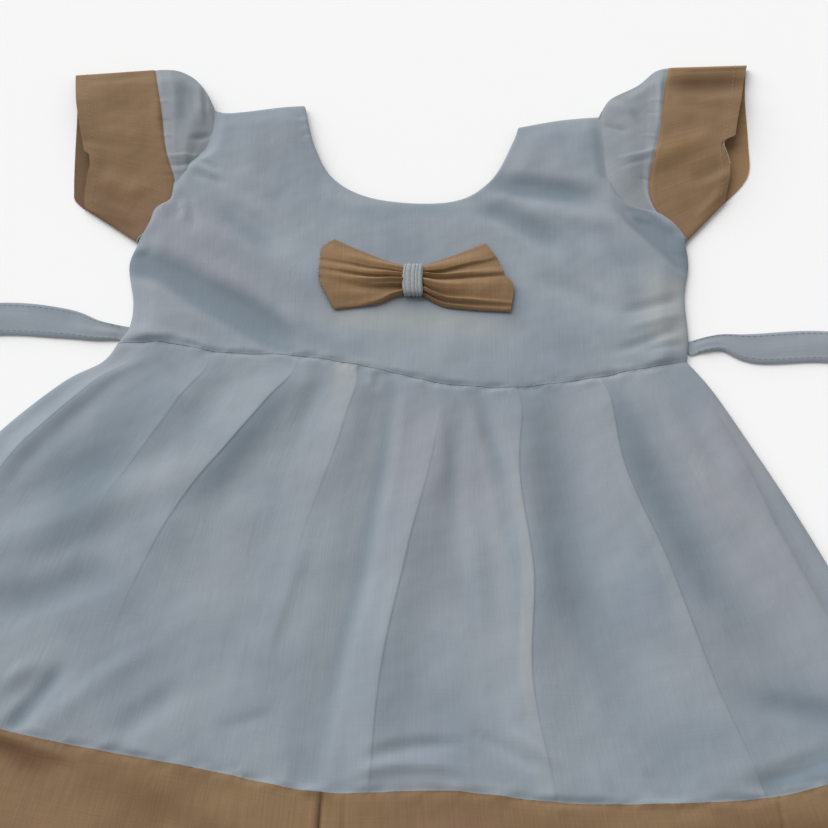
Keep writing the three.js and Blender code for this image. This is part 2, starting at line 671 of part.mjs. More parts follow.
add('bodice_front', bodiceFront(), whiteCotton());
add('bodice_back_left', bodiceBackLeft(), whiteCotton());
add('bodice_back_right', bodiceBackRight(), whiteCotton());
add('skirt_front', skirtFront(), whiteCotton());
add('skirt_back', skirtBack(), whiteCotton());
add('hem_band_front', bandFront(), tanCotton());
add('hem_band_back', bandBack(), tanCotton());
add('sleeve_left', sleeveCap(SLEEVES.left), whiteCotton());
add('sleeve_right', sleeveCap(SLEEVES.right), whiteCotton());
add('sleeve_band_left', sleeveBand(SLEEVES.left), tanCotton());
add('sleeve_band_right', sleeveBand(SLEEVES.right), tanCotton());
add('bow_left', bowWing(BOW.left), tanCotton());
add('bow_right', bowWing(BOW.right), tanCotton());
add('bow_knot', bowKnot(), whiteCotton());
add('tie_left', tie(TIE_LEFT), whiteCotton());
add('tie_right', tie(TIE_RIGHT), whiteCotton());

export default dress;
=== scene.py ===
"""A pleated baby dress laid flat on its back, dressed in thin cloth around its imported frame.

Tables and lengths are millimetres in the frame's own axes: +X right, +Y to the neck, +Z up out of
the front. They turn to metres where a mesh is made.
"""

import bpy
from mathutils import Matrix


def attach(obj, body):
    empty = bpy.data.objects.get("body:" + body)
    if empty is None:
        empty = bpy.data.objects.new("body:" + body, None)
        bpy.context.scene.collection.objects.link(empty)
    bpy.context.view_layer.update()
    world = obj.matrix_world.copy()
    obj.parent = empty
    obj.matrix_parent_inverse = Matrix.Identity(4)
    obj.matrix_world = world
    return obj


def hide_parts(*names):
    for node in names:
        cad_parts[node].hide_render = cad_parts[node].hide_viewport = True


bl_info = {
    "name": "Laid-flat baby dress",
    "version": (1, 0, 0),
    "blender": (4, 5, 0),
    "location": "View3D > Sidebar > Dress",
    "description": "Makes the cloth, the bow, the ties, the sewing and the stage of a pleated baby dress",
    "category": "Object",
}

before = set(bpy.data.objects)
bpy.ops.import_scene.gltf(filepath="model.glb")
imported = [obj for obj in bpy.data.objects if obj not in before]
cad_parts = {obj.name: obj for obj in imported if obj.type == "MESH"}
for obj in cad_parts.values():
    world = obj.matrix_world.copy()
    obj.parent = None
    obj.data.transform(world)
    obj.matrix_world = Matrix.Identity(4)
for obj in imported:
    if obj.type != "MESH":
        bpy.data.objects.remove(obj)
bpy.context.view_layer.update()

import math
from collections import namedtuple

import bpy
import numpy as np

MM = 0.001

# Heights over the table, and the widths of the turns that lead to them
CLOTH = 0.5  # thickness of one layer of the cloth that shows
FRONT_FACE = 2.7  # lowest face of a front panel
SIDE_SEAM = 1.4  # where front and back are sewn together
EDGE_ROLL = 4  # width over which cloth turns down at its edge
HEM_ROLL = 2.5
SEAM_DIP = 0.45  # how far the cloth dips into a seam across the front
SEAM_ROLL = 2.8  # width over which it dips
SEAM_ENDS = 0.3  # share of the dip that is left at the side seams
PUCKER = 0.5  # rise of the small puckers along those seams
PUCKER_REACH = 6
PUCKER_FINENESS = 3.5  # how much finer they are than the cloth's other unevenness
SKIRT_LOFT = 2.8  # how far the middle of a panel stands over its edge
SKIRT_EDGE = 24  # width over which it rises
BODICE_LOFT = 2.8
BODICE_EDGE = 13
SHOULDER_CALM = 0.8  # share of the bodice's loft that is lost at the shoulders
NECK_CALM = 0.6  # and at the neckline
SHOULDER_ROLL = 3
NECK_LEVEL = 2.6
NECK_ROLL = 1.8
ARMHOLE_LEVEL = 3.15  # the bodice's edge where it laps a sleeve
LAP_RISE = 0.4
LAP_REACH = 6
FLUSH_LEVEL = 2.9  # the edge higher up, where it lies flush with the sleeve
FLUSH_FROM = 100  # where along Y it begins to lie flush
FLUSH_FADE = 12
FLUSH_WIDTH = 7
SKIRT_UNEVEN = 0.3  # rise of the cloth's slow unevenness
FRONT_UNEVEN = 0.28
SLEEVE_UNEVEN = 0.35
BACK_UNEVEN = 0.12
CREASE_END = 0.34  # share of a crease over which it fades in or out

# Pleats
PINCH_DEPTH = 0.09  # share of the skirt's length over which its pleats open
WAIST_PINCH = 0.2  # share of a pleat's rise at the waist's seam
SEAM_CALM = 0.45  # share of it that reaches the hem band
CALM_FROM = 0.94  # share of the skirt's length from which it calms
BAND_CALM = 0.1  # share of that which the band keeps
BAND_FADE = 0.25  # share of the band's depth over which it calms
PLEAT_SWELL = 0.6  # share of a pleat's rise that swells evenly; the rest gathers towards its edge
PLEAT_GATHER = 1.5
PLEAT_STEP = 0.13  # share of a pleat's rise that drops at its edge
LIP = 1.0  # width of that edge
SLOPE_REACH = 0.9  # width of the slope beside it, as a share of the pleat's right width
PLEAT_TROUGH = 0.22  # depth of the valley beside a pleat, as a share of its rise

STRIP_EDGE = 2.5  # how sharply the doubled strip beside a pleat begins
STRIP_OVER = 0.3  # how far it reaches over the pleat's edge
STRIP_TONE = 0.6  # share of its tint that shows
SHADE_REACH = 0.7  # width of the darker strip on the other side, the single layer with painted shade, as a share of the right width
SHADE_TONE = 0.12  # how dark that painted shade is for each millimetre of rise

# Sleeves
ARM_WIDTH = 115  # of a sleeve laid flat, from its top to under the arm
CAP_DEPTH = 32
BAND_DEPTH = 41
TUBE_MIDDLE = 1.5  # height at which the upper and the lower layer meet
TUBE_TURN = 2.6  # width over which they turn into each other
TUBE_FACE = 2.1  # lowest face of the upper layer
CAP_LEVEL = 2.2
CAP_RISE = 1.3
BAND_LEVEL = 3.5
BAND_SLACK = 1.4  # how much lower a band lies under the arm
SLEEVE_PUFF = 2.6
CUFF_GAPE = 2.6  # how far the upper layer of a cuff stands open
FOLDS_FROM = 14  # how soon a sleeve's creases begin at its sides
CREASE_LIGHT_AND_SHADE = 0.3  # painted highlight on a sleeve crease's rise and painted shade in its trough, for each millimetre
CAP_CUT = 36  # depth of a cap's cloth before it is gathered
CAP_INSIDE_SHADE = -0.35  # painted shade on a cap's lower layer
SLEEVE_SEAM_DIP = 0.6
SLEEVE_SEAM_ROLL = 1.6

CENTRE_BACK = 4  # where the slit in the back is, along X
SLIT_GAP = 0.4
SLIT_MIDDLE = 40
SLIT_TOP = 88


# Tables. A point is x, y; a tie's point has its width too.

WAIST = [
    (-131, 14), (-108, 12.5), (-82, 7), (-45, 5), (-12, -1.5), (20, -9.5), (52, -11.5), (90, -6),
    (131, 4),
]
SIDE_LEFT = [(-131, 14.2), (-126.5, 23), (-126, 37), (-130, 58), (-127, 71)]
SIDE_RIGHT = [(131, 4.2), (133, 17), (133.5, 40), (137, 58), (137, 71)]
ARMHOLE_LEFT = [
    (-127, 71), (-122.5, 83), (-120.5, 91), (-113.5, 97.5), (-112.5, 112), (-107, 122.5),
    (-98, 131), (-97, 156),
]
SHOULDER_LEFT = [(-97, 156), (-88, 153.5), (-62, 157.5), (-50, 158.5)]
NECKLINE = [(-50, 158.5), (-44, 131), (-33, 109), (-11, 97), (24, 95.5), (44, 109), (56, 134), (59, 144)]
SHOULDER_RIGHT = [(59, 144), (80, 148.5), (101, 151)]
ARMHOLE_RIGHT = [(101, 151), (101.5, 132), (103, 108), (110, 94.5), (125, 88.5), (134.5, 79), (137, 71)]
BACK_ARMHOLE_LEFT = [(-127, 71), (-113, 86), (-101, 106), (-96, 130), (-97, 156)]
BACK_ARMHOLE_RIGHT = [(101, 151), (99, 128), (104, 103), (117, 85), (137, 71)]
BACK_NECK_LEFT = [(-50, 158.5), (-45, 128), (-32, 103), (-12, 90)]
BACK_NECK_RIGHT = [(24, 89), (44, 102), (55, 128), (59, 144)]
SKIRT_LEFT = [(-131, 14), (-137, 4), (-154, -7), (-180, -34), (-197, -62), (-213, -97), (-231, -140)]
SKIRT_RIGHT = [(131, 4), (141, -11), (154.5, -38), (172.5, -77), (196, -134), (212, -176)]
BAND_SEAM = [
    (-231, -140), (-190, -157), (-150, -170), (-77, -184), (-30, -193),
    (20, -192.5), (70, -197.5), (135, -196), (170, -189), (212, -176),
]
HEM = [(-253, -196), (-190, -220), (-100, -241), (0, -251), (100, -254), (180, -246), (234, -232)]

# Pleats and soft folds of the skirt's front, from the waist down. Places run from 0 at the left edge
# to 1 at the right, and places and rises are given at the waist, the quarters and the band. Widths
# are to the left and right of the line. A pleat's edge faces right. The sheer cloth lies doubled along
# a strip on its left, where its tint says how light it looks.
# A soft fold's tint is painted shade along a trough and painted highlight along a ridge.
Fold = namedtuple("Fold", "kind places rises left right strip tint")
SKIRT_FOLDS = [
    Fold(
        "pleat", (0.05, 0.048, 0.043, 0.04, 0.04), (0.6, 2.6, 2.4, 0.8, 0.2), 12, 10, 5,
        (0, 0.2, 0.2, 0, 0),
    ),
    Fold(
        "pleat", (0.169, 0.184, 0.176, 0.166, 0.16), (1.2, 1.4, 0.3, 0, 0), 20, 18, 14,
        (0.2, 0.2, 0.1, 0, 0),
    ),
    Fold(
        "pleat", (0.318, 0.294, 0.258, 0.24, 0.23), (1.5, 3.0, 2.0, 0.35, 0), 26, 22, 22,
        (0.2, 0.3, 0.1, 0, 0),
    ),
    Fold(
        "soft", (0.36, 0.372, 0.372, 0.36, 0.35), (-0.6, -0.5, -0.4, -0.2, 0), 7, 7, 7,
        (-0.3, -0.2, 0, 0, 0),
    ),
    Fold(
        "pleat", (0.42, 0.426, 0.411, 0.4, 0.39), (1.3, 1.3, 0.45, 0.05, 0), 12, 15, 13,
        (1.2, 0.4, 0.1, 0, 0),
    ),
    Fold(
        "soft", (0.476, 0.491, 0.485, 0.465, 0.452), (-1.0, -2.0, -2.4, -2.1, -1.4), 16, 8, 8,
        (-0.4, -0.6, -0.6, -0.5, -0.3),
    ),
    Fold(
        "pleat", (0.565, 0.556, 0.532, 0.508, 0.5), (0.2, 1.2, 2.3, 2.3, 1.5), 12, 20, 6,
        (0.1, 0.2, 0.3, 0.3, 0.3),
    ),
    Fold(
        "soft", (0.6, 0.586, 0.59, 0.6, 0.6), (-0.4, -1.1, -0.5, -0.1, 0), 9, 9, 7,
        (-0.2, -0.5, -0.2, 0, 0),
    ),
    Fold(
        "soft", (0.625, 0.65, 0.66, 0.66, 0.66), (-0.6, -1.2, -0.4, 0, 0), 6, 9, 7,
        (-0.3, -0.7, -0.2, 0, 0),
    ),
    Fold(
        "pleat", (0.696, 0.676, 0.675, 0.655, 0.66), (1.5, 2.3, 2.8, 2.3, 1.0), 17, 24, 6,
        (0.1, 0.4, 0.7, 0.7, 0.3),
    ),
    Fold(
        "soft", (0.735, 0.728, 0.72, 0.735, 0.77), (-0.5, -1.2, -1.5, -1.6, -1.1), 14, 22, 20,
        (-0.3, -0.6, -0.6, -0.4, -0.1),
    ),
    Fold(
        "pleat", (0.84, 0.817, 0.826, 0.828, 0.838), (1.6, 3.0, 3.2, 2.6, 1.2), 28, 24, 6,
        (0.2, 0.5, 0.5, 0.3, 0.2),
    ),
    Fold(
        "soft", (0.85, 0.852, 0.866, 0.897, 0.94), (-0.4, -1.2, -1.5, -1.5, -1.0), 12, 22, 18,
        (-0.2, -0.6, -0.6, -0.4, -0.1),
    ),
    Fold(
        "soft", (0.9, 0.905, 0.945, 0.965, 0.97), (0.8, 1.2, 1.0, 0.5, 0.2), 14, 12, 14,
        (0.3, 0.4, 0.2, 0, 0),
    ),
    Fold(
        "pleat", (0.98, 0.975, 0.964, 0.965, 0.97), (0, 2.0, 2.6, 2.0, 0.6), 12, 8, 5,
        (0, 0.2, 0.3, 0.2, 0),
    ),
]
STATIONS = np.linspace(0, 1, 5)

# Creases pressed or pulled into the cloth: a line from its start to its end, how far its middle bows
# to its left, its rise (below 0 for a trough) and its half-widths to its left and right.
Crease = namedtuple("Crease", "x0 y0 x1 y1 bow rise left right")


def creases(rows):
    return [Crease(*row) for row in rows]


SKIRT_CREASES = creases([
    (-196, -108, -76, -48, 4, 1.6, 15, 15),
    (-180, -72, -104, -40, 0, -0.8, 12, 12),
    (-174, -125, -112, -98, 2, -1.6, 12, 12),
    (-134, -140, -158, -173, 0, -2.0, 6, 5),
    (-146, -138, -170, -166, 0, 0.9, 6, 6),
    (-116, -174, -84, -148, 0, -1.1, 8, 8),
    (138, -157, 192, -167, 0, -1.3, 8, 8),
    (-184, -164, -128, -142, 0, -1.3, 8, 9),
    (-152, -178, -92, -130, 3, 0.9, 7, 8),
    (-226, -150, -196, -138, 0, -1.2, 9, 10),
    (-204, -122, -150, -112, 0, -1.2, 9, 12),
    (-36, -80, -56, -150, -2, 0.6, 5, 9),
    (-74, -170, -46, -162, 1, -0.6, 4, 5),
    (-24, -189, 32, -187, 5, 1.2, 5, 3),
    (-16, -181, 28, -175, 3, -1.5, 4, 5),
    (28, -168, 58, -187, 0, -1.0, 4, 4),
    (40, -166, 66, -186, 0, 0.8, 3, 4),
    (74, -178, 83, -202, 1, 0.8, 2, 4),
    (88, -174, 100, -188, 0, 0.7, 2, 3),
    (128, -194, 178, -176, 0, -1.5, 6, 6),
    (136, -12, 152, -72, 0, 0.9, 9, 9),
    (28, -66, 38, -140, 0, 0.5, 7, 8),
    (92, -60, 112, -150, 0, 0.7, 7, 9),
    (-112, 6, -92, -18, 0, -0.6, 4, 5),
    (-72, -10, -84, -40, 0, 0.5, 6, 6),
    (-150, -40, -190, -92, 0, 0.6, 9, 9),
    (18, -20, 20, -62, 0, 0.5, 4, 5),
    (-200, -116, -150, -96, 0, 0.6, 8, 8),
    (-100, -60, -96, -24, 0, 0.5, 7, 7),
    (-20, 2, -14, -10, 0, -0.7, 3, 4),
    (-9, 0, -12, -14, 0, -0.8, 3, 3),
    (-120, -186, -112, -168, 0, 0.6, 3, 3),
    (-96, -190, -92, -176, 0, 0.5, 2, 3),
    (-44, -198, -42, -178, 0, 0.6, 3, 3),
    (-66, -192, -62, -180, 0, -0.5, 2, 2),
    (112, -204, 114, -186, 0, 0.5, 3, 3),
    (150, -200, 152, -186, 0, 0.5, 2, 2),
    (160, -198, 163, -184, 0, -0.5, 2, 2),
])
BODICE_CREASES = creases([
    (-146, 68, -88, 40, 2, -3.2, 13, 13),
    (-112, 51, -44, 5, 3, -3.4, 14, 14),
    (-118, 86, -24, 34, 6, 1.5, 18, 15),
    (-98, 96, -52, 60, 2, -1.8, 11, 14),
    (-84, 116, -58, 96, 0, 0.8, 9, 9),
    (36, 108, 104, 97, 0, -3.2, 9, 12),
    (30, 98, 84, 62, 2, -2.6, 9, 12),
    (50, 92, 108, 78, 0, 1.2, 8, 9),
    (62, 52, 104, 26, 0, -1.5, 9, 10),
    (104, 98, 147, 48, 0, -3.8, 9, 11),
    (96, 94, 124, 56, 0, 1.1, 6, 8),
    (88, 74, 112, 32, 0, 1.6, 10, 9),
    (76, 70, 98, 36, 0, -1.0, 8, 7),
    (138, 42, 98, 28, 2, -1.2, 4, 5),
    (137, 32, 100, 19, 1, 0.9, 3, 4),
    (136, 26, 92, 6, 2, -1.2, 4, 4),
    (136, 14, 106, 7, 0, -0.8, 3, 3),
    (-55, 149, -46, 151, 0, -0.6, 1.6, 1.6),
    (-53, 143, -44, 145, 0, -0.5, 1.4, 1.4),
    (-52, 136, -43, 140, 0, -0.6, 1.6, 1.6),
    (-134, 22, -80, 6, 0, 1.4, 7, 6),
    (-114, 15, -88, 6.5, 2, -1.4, 2.5, 3),
    (-110, 104, -98, 72, 2, -1.0, 3, 6),
    (-118, 99, -114, 83, 0, 1.1, 2.5, 3),
    (-113, 101, -108, 82, 1, -1.3, 2.5, 3),
    (-107, 99, -104, 80, 0, 0.8, 3, 3),
    (-120, 92, -123, 82, 0, -0.9, 2, 2),
    (-106, 122, -88, 112, 1, -0.9, 2, 2.5),
    (-106, 118, -90, 107, 1, 0.7, 2, 2.5),
    (-108, 114, -84, 104, 0, -0.8, 3, 5),
    (-62, 32, -16, 6, 0, 0.8, 9, 9),
    (-8, 84, -6, 58, 0, 0.5, 9, 9),
    (20, 32, 26, 0, 0, 0.6, 12, 12),
    (50, 28, 72, -2, 0, -0.8, 8, 9),
    (-80, 146, -70, 108, 0, 0.8, 11, 10),
    (64, 142, 76, 112, 0, -0.6, 8, 9),
    (88, 140, 90, 112, 0, 0.6, 8, 8),
    (-30, 2, -24, -3, 0, -0.6, 2, 3),
    (-4, 0, 4, -6, 0, 0.5, 2, 3),
])
LEFT_SLEEVE_CREASES = creases([
    (-105, 178, -101, 142, 0, 1.1, 2, 4),
    (-113, 178, -110, 138, 0, -1.2, 5, 6),
    (-101, 172, -97, 146, 0, 0.7, 2, 3),
    (-109, 170, -106, 146, 0, -0.5, 1.5, 2),
    (-108, 133, -94, 139, 0, -1.0, 2.5, 3),
    (-122, 123, -90, 129, -3, 0.9, 1.6, 2),
    (-120, 118, -92, 125, -3, -1.0, 1.6, 2),
    (-118, 114, -94, 119, -2, 0.5, 1.6, 2),
    (-108, 112, -86, 118, -2, -0.5, 2, 2),
    (-126, 178, -123, 128, 0, 0.7, 4, 5),
    (-164, 90, -122, 76, 3, -1.8, 7, 9),
    (-152, 112, -124, 98, 0, 1.2, 10, 11),
    (-154, 156, -122, 150, 0, -0.5, 8, 9),
    (-166, 172, -132, 178, 0, -0.4, 4, 6),
    (-150, 140, -126, 134, 0, 0.5, 6, 7),
    (-166, 134, -138, 128, 0, -0.4, 4, 5),
    (-126, 158, -119, 158, 0, 0.5, 1.4, 1.4),
    (-126, 146, -116, 145, 0, -0.5, 1.2, 1.6),
    (-123, 136, -114, 135, 0, 0.5, 1.4, 1.2),
    (-120, 112, -112, 111, 0, -0.4, 1.2, 1.2),
])
RIGHT_SLEEVE_CREASES = creases([
    (126, 181, 194, 183.5, 0, 1.6, 7, 1.2),
    (126, 171, 194, 173, 0, -2.4, 8, 14),
    (104, 122, 132, 129, -2, 0.6, 1.8, 2.4),
    (106, 116, 130, 123, 0, -0.5, 2, 2.6),
    (102, 146, 116, 138, 0, -0.8, 2.4, 3),
    (104, 160, 122, 150, 0, 0.7, 5, 5),
    (134, 182, 129, 134, 0, 0.8, 3, 2),
    (112, 164, 124, 138, 0, -0.6, 4, 4),
    (116, 116, 162, 140, 0, 1.5, 11, 9),
    (138, 106, 170, 122, 0, -1.2, 9, 7),
    (142, 82, 162, 106, 0, 1.0, 5, 6),
    (138, 160, 176, 150, 0, -0.5, 8, 8),
    (134, 158, 126, 159, 0, 0.5, 1.3, 1.3),
    (132, 149, 124, 151, 0, -0.5, 1.2, 1.5),
    (129, 134, 120, 136, 0, 0.5, 1.3, 1.3),
    (125, 108, 116, 110, 0, -0.5, 1.3, 1.3),
])
BAND_CREASES = creases([
    (-28, -160, -34, -300, 0, -1.3, 1.2, 1.6),
    (-31, -160, -37, -300, 0, 0.5, 2.4, 1.6),
    (-19.5, -160, -24, -300, 0, -0.6, 1.2, 1.4),
    (145, -160, 151, -300, 0, -0.9, 1.2, 1.4),
    (-170, -170, -122, -186, 0, -2.2, 4, 9),
    (-120, -182, -60, -206, 0, 0.9, 10, 10),
    (-224, -170, -170, -206, 0, 0.9, 10, 10),
    (40, -205, 104, -230, 0, -0.8, 12, 12),
    (-90, -206, -30, -222, 0, -0.5, 8, 9),
    (170, -200, 215, -232, 0, -0.9, 8, 10),
    (100, -200, 140, -216, 0, 0.6, 8, 8),
])
UNDER_CREASES = creases([
    (-150, -20, -40, -120, 6, 0.6, 10, 12),
    (-40, -10, -70, -180, 5, 0.7, 8, 10),
    (20, -20, 10, -190, -4, 0.6, 9, 9),
    (60, -20, 90, -190, 5, 0.7, 8, 12),
    (110, -10, 160, -170, 5, 0.6, 9, 12),
    (-200, -130, -100, -150, 4, 0.5, 8, 8),
    (-110, 30, -30, 60, 5, 0.6, 9, 9),
    (-100, 90, -50, 120, -3, 0.5, 8, 8),
    (30, 60, 100, 30, 5, 0.6, 9, 10),
    (60, 110, 95, 90, -3, 0.5, 7, 7),
    (-120, -190, -110, -240, 0, 0.4, 5, 5),
    (130, -200, 140, -245, 0, 0.4, 5, 5),
])

# Tones of the cloth, written as creases, with a share of the change in place of a rise. Where the sheer
# white cloth lies doubled it looks lighter and where it is single darker; the rest is painted shade in
# troughs and hollows and painted highlight over rises.
SKIRT_LAYERS_AND_LIGHT = creases([
    (-18, -196, 60, -192, 3, 0.5, 4, 6),
    (-100, -184, -20, -192, 0, 0.4, 4, 6),
    (-206, -126, -150, -170, 0, -0.4, 16, 20),
    (-134, -140, -158, -174, 0, -0.9, 7, 6),
    (-180, -128, -110, -96, 0, -0.5, 14, 14),
    (-116, -174, -84, -148, 0, -0.4, 10, 10),
    (-110, 0, -142, -92, 0, -0.7, 24, 22),
    (-140, -20, -146, -116, 0, -0.6, 30, 30),
    (47, -30, 43, -170, 0, 0.4, 20, 20),
    (150, -190, 210, -170, 0, -0.7, 10, 8),
    (-160, -80, -60, -40, 0, 0.3, 14, 14),
    (128, -150, 190, -170, 0, -0.6, 14, 14),
    (-46, -6, -92, -78, 0, -0.6, 13, 13),
    (130, -193, 184, -180, 0, -1.2, 6, 5),
])
# The band's tints are all painted shade, along its fold lines and in its hollows.
BAND_PAINTED_SHADE = creases([
    (-28, -150, -34, -310, 0, -0.8, 1.2, 1.6),
    (-19.5, -150, -24, -310, 0, -0.25, 1.2, 1.4),
    (-180, -160, -128, -190, 0, -0.5, 7, 12),
    (70, -214, 230, -206, 0, -0.5, 16, 24),
    (-180, -172, -60, -202, 0, -0.25, 16, 14),
])
# The bodice's darker tints are painted shade along its creases' troughs; its lighter ones are doubled seams
# and painted highlight.
BODICE_LAYERS_AND_LIGHT = creases([
    (104, 97, 140, 68, -5, 0.6, 3, 4),
    (-100, 158, -46, 160, 0, 0.5, 5, 9),
    (56, 146, 104, 153, 0, 0.5, 5, 9),
    (-150, 68, -88, 40, 2, -1.2, 14, 13),
    (-112, 50, -42, 4, 3, -1.6, 16, 15),
    (34, 108, 106, 96, 0, -1.1, 10, 13),
    (30, 98, 84, 62, 2, -0.8, 10, 12),
    (104, 98, 148, 48, 0, -1.6, 11, 14),
    (92, 96, 122, 56, 0, 0.3, 5, 7),
    (126, 60, 122, 2, 0, 1.1, 20, 20),
    (-64, 30, 72, 18, 0, 0.8, 17, 16),
    (-100, 162, -118, 92, 0, -0.5, 8, 12),
    (-46, 90, 52, 88, 0, -0.6, 8, 11),
    (-96, 96, -56, 62, 0, -0.8, 11, 13),
    (-106, 110, -40, 70, 0, 0.35, 22, 20),
    (80, 60, 110, 24, 0, 0.35, 18, 16),
])

# Edges of the sleeves, each from its top to under the arm. A notch is how far the cuff's cloth draws
# back at shares of its length, and inside is the tone of the layer that shows within the cuff: painted shade
# on the left, painted light on the right.
SLEEVES = {
    "left": {
        "upper_armhole": [
            (-97.6, 156.3), (-93, 148), (-92, 133), (-100, 119), (-105, 101), (-114, 87),
            (-127.6, 71.8),
        ],
        "upper_seam": [
            (-129, 183), (-123, 155), (-118, 127), (-112, 107), (-113, 95), (-119.5, 84.4),
            (-128.2, 72.4),
        ],
        "upper_cuff": [
            (-170, 179), (-166, 154), (-161.3, 128), (-158.8, 110), (-157.6, 99), (-155.4, 92.6),
        ],
        "notch": [
            (0.0, 0), (0.275, 0.3), (0.455, 1.1), (0.62, 2.1), (0.645, 4.6), (0.73, 4.9),
            (0.815, 3.0), (0.885, 2.2), (0.96, 1.0), (1.0, 0),
        ],
        "lower_armhole": [(-97.6, 156.3), (-96.5, 130), (-101.5, 106), (-113.5, 86), (-127.6, 71.8)],
        "lower_seam": [(-129, 183), (-122, 150), (-118, 118), (-121, 92), (-128.2, 72.4)],
        "lower_cuff": [
            (-170, 179), (-167, 157), (-164.9, 132), (-163.5, 116), (-162.2, 104), (-161, 98.4),
            (-155.4, 92.6),
        ],
        "top": [(-97.6, 156.3), (-101.5, 167.5), (-108.5, 177), (-118, 182.5), (-129, 183)],
        "creases": LEFT_SLEEVE_CREASES,
        "inside": -0.6,
    },
    "right": {
        "upper_armhole": [
            (101.6, 151.3), (96.5, 140), (96.5, 120), (98, 104), (105, 90.5), (119, 83), (137.6, 71.8),
        ],
        "upper_seam": [
            (139, 184.5), (134.5, 165), (129.5, 137), (123.5, 114), (122, 99), (126.4, 86.4),
            (138, 72.8),
        ],
        "upper_cuff": [(180, 186), (176.5, 168), (172.5, 145), (168.6, 119), (159.2, 97)],
        "notch": [
            (0.0, 0), (0.15, 0.8), (0.3, 1.6), (0.46, 2.8), (0.565, 3.8), (0.597, 9.6),
            (0.64, 9.4), (0.745, 5.4), (0.84, 3.2), (0.93, 1.6), (1.0, 0),
        ],
        "lower_armhole": [(101.6, 151.3), (99.6, 128), (104.6, 103), (117.4, 85.5), (137.6, 71.8)],
        "lower_seam": [(139, 184.5), (133, 155), (127, 122), (128, 94), (138, 72.8)],
        "lower_cuff": [(180, 186), (177, 165), (175, 135), (172.3, 114), (159.2, 97)],
        "top": [(101.6, 151.3), (106.5, 162), (122, 172), (131.5, 181.5), (139, 184.5)],
        "creases": RIGHT_SLEEVE_CREASES,
        "inside": 0.7,
    },
}

# Wings of the bow: edges from the knot outwards, and its folds. A fold runs from the knot to the tip
# at these shares of the wing's width, with its rise at both ends and its widths above and below.
BOW = {
    "left": {
        "knot": [(0.8, 54.6), (0.6, 45.6), (0.8, 37.2)],
        "tip": [(-31.5, 69.8), (-37, 64.8), (-38.6, 55), (-38, 45), (-31, 29.8)],
        "upper": [(0.8, 54.6), (-15, 61), (-31.5, 69.8)],
        "lower": [(0.8, 37.2), (-4, 35.8), (-12, 32.3), (-31, 29.8)],
    },
    "right": {
        "knot": [(10.2, 54.6), (10.4, 45.6), (10.2, 37.2)],
        "tip": [(39.9, 67.8), (45.8, 57.3), (48.6, 48.8), (52.6, 42.3), (50.8, 28.3)],
        "upper": [(10.2, 54.6), (23.4, 60), (39.9, 67.8)],
        "lower": [(10.2, 37.2), (22, 30.8), (50.8, 28.3)],
    },
}
BowFold = namedtuple("BowFold", "start end rise_start rise_end above below")
BOW_FOLDS = {
    "left": [
        BowFold(0.16, 0.2, 1.3, 0.3, 0.16, 0.1),
        BowFold(0.3, 0.34, -0.9, -0.5, 0.03, 0.05),
        BowFold(0.4, 0.42, 1.6, 0.5, 0.06, 0.08),
        BowFold(0.49, 0.47, -1.4, -0.5, 0.025, 0.05),
        BowFold(0.6, 0.52, 2.2, 0.3, 0.07, 0.06),
        BowFold(0.75, 0.62, -2.8, 0, 0.06, 0.16),
        BowFold(0.93, 1.02, 1.9, 0.1, 0.1, 0.05),
    ],
    "right": [
        BowFold(0.12, 0.16, 1.0, 0.3, 0.14, 0.14),
        BowFold(0.3, 0.28, -1.6, -1.0, 0.03, 0.1),
        BowFold(0.38, 0.45, 1.5, 0.6, 0.06, 0.04),
        BowFold(0.45, 0.5, -1.0, -0.9, 0.025, 0.04),
        BowFold(0.6, 0.64, 1.6, 0.4, 0.12, 0.1),
        BowFold(0.76, 0.84, -2.2, 0, 0.08, 0.05),
        BowFold(0.85, 0.9, 1.6, 0.7, 0.035, 0.03),
        BowFold(0.9, 0.94, -1.2, -0.6, 0.02, 0.03),
        BowFold(0.96, 0.98, 1.3, 0.5, 0.04, 0.03),
    ],
}
BOW_CLOTH = 1.1  # its cloth is doubled
BOW_SEAT = 0.25  # how far it stands over the bodice's own height
BOW_LIFT = 2.6
BOW_FLOOR = 0.2
BOW_FAN = 1.5  # how much wider its folds are at the tip than at the knot
BOW_WIDTH = 40
BOW_ROLL = 2  # width over which its long edges turn down
BOW_EDGE = 0.55  # share of the height that they keep
BOW_TONE = 0.16  # its tone, the painted highlight it gains for each millimetre of height, and the painted shade in its valleys
BOW_PAINTED_HIGHLIGHT = 0.13
BOW_PAINTED_SHADE = 1.1
BOW_VALLEY = 0.9  # height below which cloth counts as a valley and gets painted shade
KNOT_CENTRE = (5.5, 45)
KNOT_SIZE = (9.0, 17.6, 5.4)  # width, length and height over the bodice
KNOT_TURNS = 5  # strands of thread side by side
KNOT_SQUARE = 0.62  # 1 winds them in an oval, and less in a squarer loop
STRAND_RISE = 0.42  # depth of the grooves between them

TIE_LEFT = [
    (-127.0, 20.2, 7), (-142, 22, 11), (-158, 26, 16), (-187, 28.5, 18), (-230, 24, 18), (-266, -4, 18),
    (-282, -55, 18), (-288, -110, 18), (-298, -165, 18), (-302, -228, 18),
]
TIE_RIGHT = [
    (132.0, 11.6, 7), (148, 15.2, 9), (164, 12, 16), (197, 13, 17), (240, 6, 18), (270, -24, 18),
    (283, -75, 18), (281, -130, 18), (272, -185, 18), (272, -236, 18),
]
TIE_HEIGHT = 2.0
TIE_START = 0.9  # height where it leaves the side seam
TIE_EDGE = 0.75  # height of its folded edges
TIE_HALF = 9  # half of its width
TIE_ROLL = 1.1
TIE_GATHER = 34  # length over which it is gathered
TIE_COLUMNS = 19


# Small mathematics

